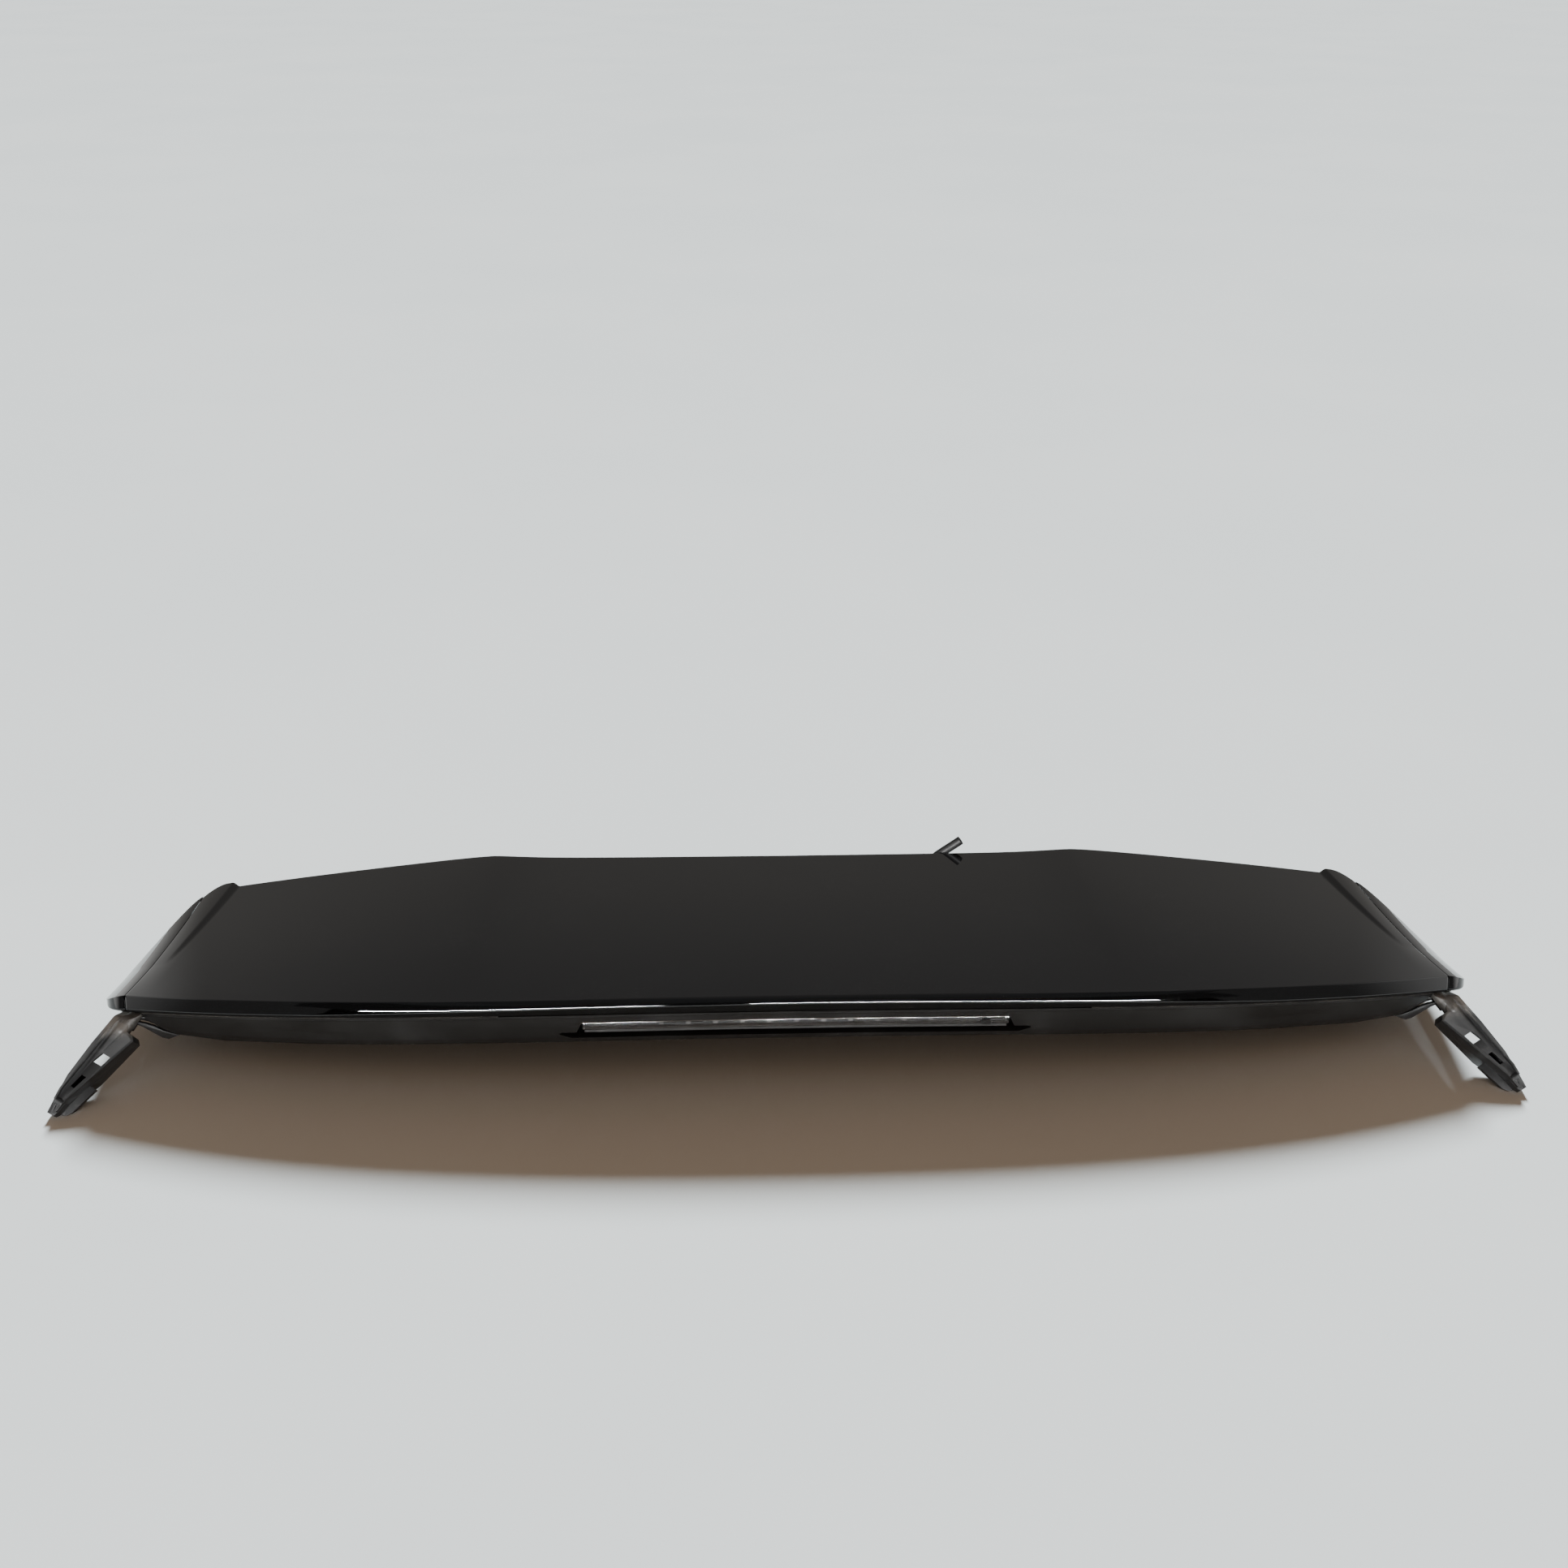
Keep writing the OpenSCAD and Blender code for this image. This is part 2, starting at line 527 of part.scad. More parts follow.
module lamp_screws() {
    color("dimgray")
        for (s = [-1, 1]) translate([s * lamp_screw_x, lamp_back(lamp_screw_x) + shell_t + 0.8, lens_z(lamp_screw_x)])
            rotate([90, 0, 0]) screw(9);
}
function lens_ring(x) =
    let(f = lamp_face(x), t = lens_z(x) + lens_h / 2, l = lens_z(x) - lens_h / 2 + 0.2)
    [[f + 0.1, l], [f + 2.4, l], [f + 2.4, t], [f + 0.1, t], [f - 0.5, t - 1], [f - 0.8, (t + l) / 2], [f - 0.5, l + 1]];
module lamp_lens() {
    color([0.75, 0.72, 0.7])
        difference() {
            loft([for (x = span_stations(lens_w / 2, 4)) at_x(x, lens_ring(x))]);
            translate([nozzle_x, 0, nozzle_z]) rotate([-90, 0, 0]) cylinder(d = nozzle_d + 2 * fit, h = 60);
        }
}
led_x = [for (i = [0 : led_count - 1]) (i - (led_count - 1) / 2) * led_pitch];
board_t = 1.6;
function board_y(x) = lamp_back(x) - housing_t - board_t - fit;
module lamp_board() {
    color("darkgreen")
        loft([for (x = span_stations(led_pitch * led_count / 2, 3))
            let(y = board_y(x), z = lens_z(x))
            at_x(x, [[y, z - 2.6], [y + board_t, z - 2.6], [y + board_t, z + 2], [y, z + 2]])]);
}
module lamp_diodes() {
    color("white")
        for (x = led_x) translate([x - 1.5, board_y(x) - 1.3, lens_z(x) - 1.5]) cube([3, 1.2, 3]);
}
module lamp_reflector() {
    color("silver")
        difference() {
            union() {
                for (x = led_x) translate([x - led_pitch / 2 - 0.01, board_y(x) - 7, lens_z(x) - 2.6])
                    cube([led_pitch + 0.02, 5.4, 4.2]);
            }
            for (x = led_x) translate([x, board_y(x) - 8, lens_z(x)]) rotate([-90, 0, 0]) cylinder(d1 = 4.4, d2 = 3, h = 8);
        }
}
plug_x = lens_w / 6;
plug_w = 16;
plug_h = 5;
module lamp_connector() {
    color(black)
        difference() {
            translate([-plug_x - plug_w / 2, lamp_back(plug_x) + fit, lens_z(plug_x) - plug_h / 2]) cube([plug_w, 14, plug_h]);
            translate([-plug_x - plug_w / 2 + 1.4, lamp_back(plug_x) + 4, lens_z(plug_x) - plug_h / 2 + 1.2])
                cube([plug_w - 2.8, 14, plug_h - 2.4]);
        }
}

// Washer line
nozzle_d = 4.6;
barb_l = 12;
nozzle_z = lens_z(nozzle_x) - 0.5;
module washer_nozzle() {
    color(black)
        translate([nozzle_x, lamp_face(nozzle_x), nozzle_z]) rotate([-90, 0, 0]) {
            translate([0, 0, -2.2]) linear_extrude(1.3) {
                square([4, 5], center = true);
                for (s = [-1, 1]) translate([s * 2, 0]) circle(d = 5);
            }
            translate([0, 0, -1]) cylinder(d = nozzle_d, h = pocket_d + 4);
            translate([0, 0, pocket_d + 2]) cylinder(d = 0.9 * hose_bore, h = barb_l);
        }
}
hose_x = nozzle_x - 7;
hose_z = 18.7;
elbow_r = 8;
hose_sides = 12;
hose_route = [
    [nozzle_x, lamp_face(nozzle_x) + pocket_d + 4.2, nozzle_z], [nozzle_x, 72, nozzle_z],
    [nozzle_x - 1, 115, 54], [nozzle_x - 3, 155, 46], [nozzle_x - 5, 195, 37.5], [nozzle_x - 6, 235, 29.5],
    [hose_x, 268, 22.6], [hose_x, front_y - bond_w - 26, hose_z],
    [hose_x, front_y + hose_d / 2 + 0.6 - elbow_r, hose_z]
];
elbow = [for (k = [1 : 6]) let(a = 15 * k)
    [hose_x, front_y + hose_d / 2 + 0.6 - elbow_r, hose_z]
        + elbow_r * [(1 - cos(a)) * cos(hose_rise), sin(a), (1 - cos(a)) * sin(hose_rise)]];
hose_path = concat(hose_route, elbow, [elbow[5] + 2 * [cos(hose_rise), 0, sin(hose_rise)]]);
function tangent(p, i) = unit(p[min(i + 1, len(p) - 1)] - p[max(i - 1, 0)]);
function tube_ring(p, i, r) =
    let(
        t = tangent(p, i),
        side = unit(cross(t, [-sin(hose_rise), 0, cos(hose_rise)])),
        up = cross(side, t)
    ) [for (k = [0 : hose_sides - 1]) let(a = 360 * k / hose_sides) p[i] + r * (cos(a) * side - sin(a) * up)];
module washer_hose() {
    n = len(hose_path) - 1;
    bore_path = [for (i = [0 : n])
        hose_path[i] + (i == 0 ? [0, -1, 0] : i == n ? [cos(hose_rise), 0, sin(hose_rise)] : [0, 0, 0])];
    color(black)
        difference() {
            union() {
                loft([for (i = [0 : n]) tube_ring(hose_path, i, 0.985 * hose_d / 2)]);
                translate(elbow[5] + [cos(hose_rise), 0, sin(hose_rise)]) rotate([0, 90 - hose_rise, 0])
                    cylinder(d = hose_d, h = hose_out - elbow_r - 1);
            }
            loft([for (i = [0 : n]) tube_ring(bore_path, i, 0.96 * hose_bore / 2)]);
            translate(elbow[5] + [cos(hose_rise), 0, sin(hose_rise)]) rotate([0, 90 - hose_rise, 0])
                cylinder(d = hose_bore, h = hose_out);
        }
}
hose_clip_at = [3, 5];
clip_t = 1.5;
module hose_clips() {
    color(black)
        for (i = hose_clip_at) {
            q = hose_path[i];
            t = tangent(hose_path, i);
            floor_z = shell_low_z(q[0], q[1] - 3) + shell_t + 0.5;
            difference() {
                union() {
                    translate(q) rotate([-90 + asin(t[2]), 0, 0]) cylinder(d = hose_d + 2 * clip_t + 2 * fit, h = 7, center = true);
                    translate([q[0] - 7, q[1] - 3, floor_z]) cube([14, 6, q[2] - floor_z - 3]);
                }
                translate(q) rotate([-90 + asin(t[2]), 0, -atan2(t[0], t[1])]) cylinder(d = hose_d + 1, h = 30, center = true);
            }
        }
}
// Fixings to the tailgate
stud_x = [-430, -270, -110, 110, 270, 430];
pin_x = [-380, 380];
// The free end of a stud stands below the foam; above a relief groove its thicker neck fills the hole
seal_h = 4;
neck_d = stud_d + 1;
relief = 0.4;
stud_free = land_z - fit - seal_h - 0.6 - relief;
module mounting_studs() {
    color("silver")
        for (x = stud_x) translate([x, land_mid(x), 0]) {
            cylinder(d = stud_d, h = stud_free);
            translate([0, 0, stud_free]) cylinder(d = stud_d - 1, h = relief);
            translate([0, 0, stud_free + relief])
                cylinder(d = neck_d, h = land_z_at(x) + shell_t + 1 - stud_free - relief);
            translate([0, 0, land_z_at(x) + shell_t + fit]) cylinder(d = 3 * stud_d, h = 2);
        }
}
module stud_seals() {
    color("dimgray")
        for (x = stud_x) translate([x, land_mid(x), land_z_at(x) - seal_h - fit])
            difference() {
                cylinder(d = 4 * stud_d, h = seal_h);
                translate([0, 0, -1]) cylinder(d = neck_d + 2 * fit, h = seal_h + 2);
            }
}
module locating_pins() {
    color(black)
        for (x = pin_x) translate([x, land_mid(x), land_z_at(x) - fit]) {
            translate([0, 0, -8]) cylinder(d = pin_d, h = 8);
            translate([0, 0, -10]) cylinder(d1 = pin_d * 0.6, d2 = pin_d, h = 2);
            cylinder(d = pin_d / 2, h = shell_t + 1);
        }
}
function seal_ring(x) =
    let(a = front_y_at(x) - bond_w + 4, b = front_y_at(x) - 10)
    [[a, flange_z(x, a) - 5], [b, flange_z(x, b) - 5], [b, flange_z(x, b) - fit], [a, flange_z(x, a) - fit]];
seal_gap = 14;
seal_end = half_skin - 50;
module front_seal() {
    color("dimgray") {
        loft([for (x = concat(both_sides([for (x = half_stations) if (x < seal_end) x]))) if (x < hose_x - seal_gap) at_x(x, seal_ring(x))]);
        loft([for (x = half_stations) if (x > hose_x + seal_gap && x < seal_end) at_x(x, seal_ring(x))]);
    }
}

module place() translate([0, -origin_y, 0]) children();
place() top_skin();
place() lower_shell();
place() end_cap_left();
place() end_cap_right();
place() cap_screws();
place() arm_left();
place() arm_right();
place() arm_screws();
place() shell_screws();
place() lamp_housing();
place() lamp_lens();
place() lamp_reflector();
place() lamp_board();
place() lamp_diodes();
place() lamp_connector();
place() lamp_screws();
place() washer_nozzle();
place() washer_hose();
place() hose_clips();
place() mounting_studs();
place() stud_seals();
place() locating_pins();
place() front_seal();
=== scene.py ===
# %% [markdown]
# A tailgate spoiler: a long painted skin on a dark lower shell, with two thin end caps, two moulded
# side arms, a slim brake lamp, a washer nozzle and its hose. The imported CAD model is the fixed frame.
# Every piece here is made in the same place and size, and only shape detail and finish are added.

# %% Load the frame
from math import cos, pi, radians, sin
import bpy
from mathutils import Matrix, Vector


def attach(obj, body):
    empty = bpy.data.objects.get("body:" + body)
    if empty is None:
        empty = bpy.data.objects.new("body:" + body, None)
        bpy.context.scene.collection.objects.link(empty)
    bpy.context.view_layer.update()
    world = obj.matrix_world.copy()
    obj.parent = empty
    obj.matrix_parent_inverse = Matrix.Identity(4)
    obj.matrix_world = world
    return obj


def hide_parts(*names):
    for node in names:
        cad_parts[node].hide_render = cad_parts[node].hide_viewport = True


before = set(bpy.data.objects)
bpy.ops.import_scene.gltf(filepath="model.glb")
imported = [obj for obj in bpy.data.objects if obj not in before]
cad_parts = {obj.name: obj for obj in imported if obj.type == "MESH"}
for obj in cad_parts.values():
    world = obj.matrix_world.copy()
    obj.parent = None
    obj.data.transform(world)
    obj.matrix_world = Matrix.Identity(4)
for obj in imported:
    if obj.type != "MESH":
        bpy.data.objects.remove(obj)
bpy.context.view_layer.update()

# %% [markdown]
# The camera comes first, because everything else is judged through it. It was worked out from pairs
# of points on the left and right of the photograph: a wide lens about a metre and a half away,
# looking down at thirty degrees, with a slight turn and a slight roll. Its axes follow from those
# three angles, which keeps each angle a value that can be read and changed by itself.

# %% Camera
PITCH, TURN, ROLL = radians(30), 0.0351, 0.0066
CAMERA_AT = Vector((-0.0482, -1.180424, 0.8922))
LENS_MM, SENSOR_MM = 36, 36


def camera_axes(pitch, turn, roll):
    """Right, up and forward of a camera that looks along +Y, then turns right, tips down and rolls."""
    ahead = Vector((sin(turn), cos(turn), 0))
    right = Vector((cos(turn), -sin(turn), 0))
    forward = ahead * cos(pitch) - Vector((0, 0, sin(pitch)))
    up = ahead * sin(pitch) + Vector((0, 0, cos(pitch)))
    return right * cos(roll) + up * sin(roll), up * cos(roll) - right * sin(roll), forward


def add_camera(name, place):
    right, up, forward = camera_axes(PITCH, TURN, ROLL)
    camera = bpy.data.objects.new(name, bpy.data.cameras.new(name))
    bpy.context.scene.collection.objects.link(camera)
    camera.data.lens, camera.data.sensor_width = LENS_MM, SENSOR_MM
    camera.matrix_world = Matrix.Translation(place) @ Matrix((right, up, -forward)).transposed().to_4x4()
    return camera


bench_camera = add_camera("bench_camera", CAMERA_AT)
bpy.context.scene.camera = bench_camera
print("camera at", [round(v, 3) for v in bench_camera.location])

# %% [markdown]
# Small helpers for working with objects. Operators act on whatever is selected, and the loader
# leaves the CAD nodes selected, so each step first clears the selection and picks its own object.

# %% Selection and edit-mode helpers


def pick(*objects):
    """Selects these objects and nothing else; the first one is active."""
    bpy.ops.object.select_all(action="DESELECT")
    for obj in objects:
        obj.select_set(True)
    bpy.context.view_layer.objects.active = objects[0]


def edit(obj, *steps):
    """Runs each step in edit mode with everything selected."""
    pick(obj)
    bpy.ops.object.mode_set(mode="EDIT")
    for step in steps:
        bpy.ops.mesh.select_all(action="SELECT")
        step()
    bpy.ops.object.mode_set(mode="OBJECT")
    return obj


def modify(obj, kind, **settings):
    """Adds a modifier and applies it at once."""
    pick(obj)
    modifier = obj.modifiers.new(kind.lower(), kind)
    for key, value in settings.items():
        setattr(modifier, key, value)
    bpy.ops.object.modifier_apply(modifier=modifier.name)


def round_off(obj, angle):
    """Smooth shading, with the edges sharper than the angle, in degrees, kept sharp."""
    pick(obj)
    bpy.ops.object.shade_smooth_by_angle(angle=radians(angle))


def triangles(obj):
    return sum(len(p.vertices) - 2 for p in obj.data.polygons)


# %% [markdown]
# Shader arithmetic reads best as arithmetic. A small class wraps a socket so that masks can be
# added, multiplied and subtracted as ordinary numbers, and each sum becomes a Math node. Colours
# go through Mix nodes instead, since a Math node keeps only grey.

# %% Sums of shader sockets


class Signal:
    """One output socket that can be used in sums and products."""

    def __init__(self, tree, socket):
        self.tree, self.socket = tree, socket

    def maths(self, operation, first, second=0):
        node = self.tree.nodes.new("ShaderNodeMath")
        node.operation = operation
        for slot, value in zip(node.inputs, (first, second)):
            if isinstance(value, Signal):
                self.tree.links.new(value.socket, slot)
            else:
                slot.default_value = value
        return Signal(self.tree, node.outputs[0])

    def __add__(self, other):
        return self.maths("ADD", self, other)

    def __radd__(self, other):
        return self.maths("ADD", other, self)

    def __sub__(self, other):
        return self.maths("SUBTRACT", self, other)

    def __rsub__(self, other):
        return self.maths("SUBTRACT", other, self)

    def __mul__(self, other):
        return self.maths("MULTIPLY", self, other)

    def __rmul__(self, other):
        return self.maths("MULTIPLY", other, self)


# %% [markdown]
# Every finish is built from the same few masks: noise on the piece's own coordinates, a soft step
# that turns noise or a height into a patch, and a bump. One class holds them, so that each finish
# below is a few lines that say what lies where. A Mix node has sockets for numbers, vectors and
# colours, and its colour sockets are known only by their place in the list.

# %% Material helper
MIX_FACTOR, MIX_PLAIN, MIX_OTHER, MIX_COLOUR = 0, 6, 7, 2
FINE_RELIEF = 0.0002
FINISH = {}


class Finish:
    """A material whose nodes are added one call at a time."""

    def __init__(self, name):
        self.material = bpy.data.materials.new(name)
        self.material.use_nodes = True
        self.tree = self.material.node_tree
        self.shader = self.tree.nodes["Principled BSDF"]
        self.place = self.node("ShaderNodeTexCoord", out="Object")

    def node(self, kind, settings=None, sockets=None, out=0):
        """Adds a node: its settings first, then values or links for its sockets."""
        node = self.tree.nodes.new(kind)
        for key, value in (settings or {}).items():
            setattr(node, key, value)
        for key, value in (sockets or {}).items():
            self.feed(node.inputs[key], value)
        return Signal(self.tree, node.outputs[out])

    def feed(self, slot, value):
        """Links a signal to a socket, or sets its value; a colour gets its alpha."""
        if isinstance(value, Signal):
            self.tree.links.new(value.socket, slot)
        elif hasattr(value, "__len__") and len(value) == 3 and len(slot.default_value) == 4:
            slot.default_value = (*value, 1)
        else:
            slot.default_value = value

    def xyz(self):
        """The piece's own coordinates, in metres, as three signals."""
        split = self.node("ShaderNodeSeparateXYZ", sockets={"Vector": self.place})
        return [Signal(self.tree, socket) for socket in split.socket.node.outputs]

    def noise(self, scale, detail=4, rough=0.55, stretch=(1, 1, 1)):
        """Noise between 0 and 1 on the piece's own coordinates, scale in features per metre."""
        spread = self.node("ShaderNodeMapping", sockets={"Vector": self.place, "Scale": stretch})
        return self.node("ShaderNodeTexNoise", {"noise_dimensions": "3D"},
                         {"Vector": spread, "Scale": scale, "Detail": detail, "Roughness": rough})

    def step(self, value, low, high):
        """0 below low, 1 above high, soft in between."""
        return self.node("ShaderNodeMapRange", {"interpolation_type": "SMOOTHSTEP"},
                         {"Value": value, "From Min": low, "From Max": high})

    def band(self, value, rise, fall):
        """1 between two soft steps, which are given as (low, high) each, and 0 outside."""
        return self.step(value, *rise) * (1 - self.step(value, *fall))

    def blend(self, mask, plain, other):
        """A colour that goes from plain to other with the mask."""
        mixed = self.node("ShaderNodeMix", {"data_type": "RGBA"}, out=MIX_COLOUR)
        slots = mixed.socket.node.inputs
        for k, value in ((MIX_FACTOR, mask), (MIX_PLAIN, plain), (MIX_OTHER, other)):
            self.feed(slots[k], value)
        return mixed

    def bump(self, height, strength, distance=FINE_RELIEF):
        """A relief from a mask; distance is its full height in metres."""
        return self.node("ShaderNodeBump",
                         sockets={"Height": height, "Strength": strength, "Distance": distance})

    def set(self, **sockets):
        """Values or links on the shader, with underscores for the spaces in a socket's name."""
        for key, value in sockets.items():
            self.feed(self.shader.inputs[key.replace("_", " ")], value)
        return self


# %% [markdown]
# Paint on a moulded skin is a dark basecoat under a hard clear layer. What the eye sees is almost
# all reflection, so the base is nearly black and smooth. A second coat layer in the shader would
# add a second reflection and nothing else. Fine dust lies in cloudy patches: it lifts the colour a
# little, and the patches are slightly less smooth, as on a part that has lain in a store.

# %% Paint finish


def paint_finish():
    paint = Finish("black_paint")
    cloud, grit, flake = paint.noise(9, 5), paint.noise(900, 2), paint.noise(2600, 1)
    dust = paint.step(cloud, 0.45, 0.75) * paint.step(grit, 0.6, 0.72)
    basecoat, paler_tone = (0.0026, 0.0025, 0.0027), (0.10, 0.095, 0.09)
    return paint.set(
        Base_Color=paint.blend(dust * 0.12, basecoat, paler_tone),
        Roughness=0.018 + 0.02 * paint.step(cloud, 0.4, 0.8) + dust * 0.12,
        IOR=1.5, Normal=paint.bump(flake, 0.006),
    ).material


FINISH["paint"] = paint_finish()
print("finish:", FINISH["paint"].name)

# %% [markdown]
# The lower shell is moulded in black and left as it comes from the tool, with a fine grain and a
# weak sheen. Its bead is painted lighter in dust-like patches: a painted highlight for the bright
# line along its top edge. The groove between bead and nose, like the underside of the nose, shows
# as plain black in the photograph. With the shell's own finish it came out too light, so it has an
# almost black finish of its own, which is painted shade.

# %% Finishes of the lower shell


def satin_finish():
    satin = Finish("satin_black_shell")
    grain = satin.noise(1500, 3)
    dust = satin.step(satin.noise(14, 5), 0.4, 0.8)
    moulded, paler_tone = (0.013, 0.0125, 0.012), (0.030, 0.029, 0.028)
    return satin.set(
        Base_Color=satin.blend(dust * 0.5, moulded, paler_tone),
        Roughness=0.36 + 0.14 * dust, Specular_IOR_Level=0.28, Normal=satin.bump(grain, 0.12),
    ).material


def bead_highlight_finish():
    bead = Finish("bead_painted_highlight")
    # The lighter patches on the bead are a painted highlight for the bright line along its top edge.
    dust = bead.step(bead.noise(40, 5), 0.35, 0.6)
    thin, lit_bead_tone = (0.06, 0.058, 0.055), (0.19, 0.185, 0.175)
    return bead.set(Base_Color=bead.blend(dust, thin, lit_bead_tone), Roughness=0.6).material


def groove_shade_finish():
    groove = Finish("groove_painted_shade")
    # Near black and barely reflecting: painted shade for the deep groove and the underside of the nose.
    deep, shallow = (0.003, 0.003, 0.003), (0.006, 0.006, 0.006)
    return groove.set(
        Base_Color=groove.blend(groove.noise(60), deep, shallow),
        Roughness=0.6, Specular_IOR_Level=0.1,
    ).material


FINISH.update(satin=satin_finish(), bead=bead_highlight_finish(), groove=groove_shade_finish())
print("finishes:", len(FINISH))

# %% [markdown]
# The arms are bare black plastic, grained, rougher than the shell and scuffed grey in patches. Their
# upper ends, the necks, are painted pale in patches by height, because the neck is what stands
# highest of the arm: painted sheen. Their edges are worn, so a second finish is kept for the
# bevelled edges alone, and its pale rubbed patches are wear and painted sheen together.

# %% Finishes of the arms
NECK_FROM, NECK_FULL = 0.044, 0.052


def arm_finish():
    arm = Finish("black_arm_plastic")
    grain, scuff = arm.noise(1300, 3), arm.step(arm.noise(60, 6, 0.7), 0.55, 0.75)
    height = arm.xyz()[2]
    patchy = 0.45 + 0.55 * arm.step(arm.noise(90, 5), 0.4, 0.6)
    # The pale patches on the neck, laid on by height, are painted sheen on the highest part of the arm.
    neck = arm.step(height, NECK_FROM, NECK_FULL) * patchy
    bare, scuffed, paler_tone = (0.011, 0.011, 0.0115), (0.09, 0.088, 0.085), (0.36, 0.36, 0.35)
    return arm.set(
        Base_Color=arm.blend(neck * 0.85, arm.blend(scuff * 0.35, bare, scuffed), paler_tone),
        Roughness=0.42 + 0.2 * scuff, IOR=1.5, Normal=arm.bump(grain, 0.2),
    ).material


def worn_and_sheen_finish():
    worn = Finish("worn_and_sheen_arm_edge")
    # Pale rubbed patches on the bevelled edges: wear, and painted sheen on the edges as well.
    patch = worn.step(worn.noise(150, 5, 0.7), 0.36, 0.54)
    kept, rubbed_sheen_tone = (0.05, 0.05, 0.05), (0.5, 0.49, 0.46)
    return worn.set(
        Base_Color=worn.blend(patch, kept, rubbed_sheen_tone),
        Roughness=0.5 + 0.2 * patch, Normal=worn.bump(patch, 0.2),
    ).material


FINISH.update(arm=arm_finish(), worn=worn_and_sheen_finish())
print("finishes:", len(FINISH))

# %% [markdown]
# The small mouldings, the hose and the circuit board differ only in tone and sheen, so one finish
# serves them all, with its two tones and its roughness given. Foam is the odd one out: its cut
# cells are a pattern of little pits, which a Voronoi texture gives directly.

# %% Small mouldings, rubber and foam


def plastic_finish(name, dark, light, rough, grain_scale=1200):
    plastic = Finish(name)
    grain, cloud = plastic.noise(grain_scale, 3), plastic.step(plastic.noise(45, 5), 0.4, 0.75)
    return plastic.set(
        Base_Color=plastic.blend(cloud, dark, light),
        Roughness=rough + 0.12 * cloud, Normal=plastic.bump(grain, 0.15),
    ).material


def foam_finish():
    foam = Finish("closed_cell_foam")
    cells = foam.node("ShaderNodeTexVoronoi", {"feature": "F1"}, {"Vector": foam.place, "Scale": 1500})
    pit, wall = (0.012, 0.012, 0.012), (0.05, 0.05, 0.052)
    return foam.set(
        Base_Color=foam.blend(foam.step(cells, 0.1, 0.6), pit, wall),
        Roughness=0.9, Normal=foam.bump(cells, 0.5, 2 * FINE_RELIEF),
    ).material


FINISH.update(
    housing=plastic_finish("lamp_housing_plastic", (0.02, 0.0195, 0.019), (0.045, 0.043, 0.041), 0.5),
    nozzle=plastic_finish("nozzle_plastic", (0.006, 0.006, 0.006), (0.012, 0.012, 0.012), 0.3),
    clip=plastic_finish("clip_plastic", (0.012, 0.012, 0.012), (0.03, 0.03, 0.03), 0.45),
    hose=plastic_finish("hose_rubber", (0.008, 0.008, 0.008), (0.018, 0.018, 0.018), 0.5, 700),
    board=plastic_finish("board_green", (0.02, 0.08, 0.035), (0.03, 0.11, 0.05), 0.35),
    foam=foam_finish(),
)
print("finishes:", len(FINISH))

# %% [markdown]
# The lamp has a clear lens over a dull, dim reflector, and most of its grey is what shows through.
# The lamp is unlit, and the marks over each diode and along the lens's lower edge are painted
# highlights: faint glow in the lens's finish. Cut optics would be only a few pixels across in the
# picture, so painted marks stand in for them. They are placed by the lens's middle line, which
# falls towards its ends, and by the spacing of the diodes.

# %% Lens finish
LENS_MIDDLE, LENS_FALL = 0.0636, 0.0525
DIODE_PITCH = 0.0226
OPTIC_RISE, OPTIC_FALL = (0.0006, 0.0012), (0.0024, 0.003)
EDGE_RISE, EDGE_FALL = (-0.0036, -0.0031), (-0.0027, -0.0020)
OPTICS_END = (0.004, 0.0225)


def lens_finish():
    lens = Finish("clear_lens")
    haze = lens.step(lens.noise(120, 5), 0.45, 0.75)
    x, _, z = lens.xyz()
    height = z - (LENS_MIDDLE - LENS_FALL * (x * x))
    pitches = x * (1 / DIODE_PITCH)
    aside = pitches - pitches.maths("ROUND", pitches)
    over_diode = 1 - lens.step(aside.maths("ABSOLUTE", aside), 0.05, 0.12)
    # Faint glow over each diode and along the lower edge: painted highlights, as the lamp is unlit.
    painted_optic_glint = over_diode * lens.band(height, OPTIC_RISE, OPTIC_FALL) * (1 - lens.step(x * x, *OPTICS_END))
    edge = lens.band(height, EDGE_RISE, EDGE_FALL) * (0.6 + 0.4 * haze)
    clear, hazy = (0.55, 0.52, 0.50), (0.36, 0.34, 0.32)
    dark, edge_glint_tone, optic_glint_tone = (0, 0, 0), (0.04, 0.039, 0.037), (0.12, 0.117, 0.112)
    return lens.set(
        Base_Color=lens.blend(haze * 0.4, clear, hazy),
        Roughness=0.06 + 0.12 * haze, IOR=1.49, Transmission_Weight=1.0, Emission_Strength=1.0,
        Emission_Color=lens.blend(painted_optic_glint, lens.blend(edge, dark, edge_glint_tone), optic_glint_tone),
    ).material


FINISH["lens"] = lens_finish()
print("finish:", FINISH["lens"].name)

# %% [markdown]
# The reflector, the steel screws and the studs are metal, with duller patches and a fine relief.
# Squeezed along one axis, that relief runs round a shank, as the marks on turned steel do. The
# diodes are pale resin.

# %% Metal and diode finishes
EVEN, TURNED = (1, 1, 1), (1, 1, 8)


def metal_finish(name, tone, rough, squeeze):
    metal = Finish(name)
    marks = metal.noise(700, 4, 0.6, squeeze)
    dull = metal.step(metal.noise(80, 4), 0.45, 0.7)
    return metal.set(
        Base_Color=metal.blend(dull * 0.4, tone, tuple(0.6 * c for c in tone)),
        Metallic=1.0, Roughness=rough + 0.15 * dull, Normal=metal.bump(marks, 0.08),
    ).material


def diode_finish():
    diode = Finish("diode_resin")
    ring = diode.step(diode.noise(500, 2), 0.4, 0.6)
    pale, yellowed = (0.8, 0.8, 0.78), (0.7, 0.66, 0.5)
    return diode.set(Base_Color=diode.blend(ring * 0.3, pale, yellowed), Roughness=0.25).material


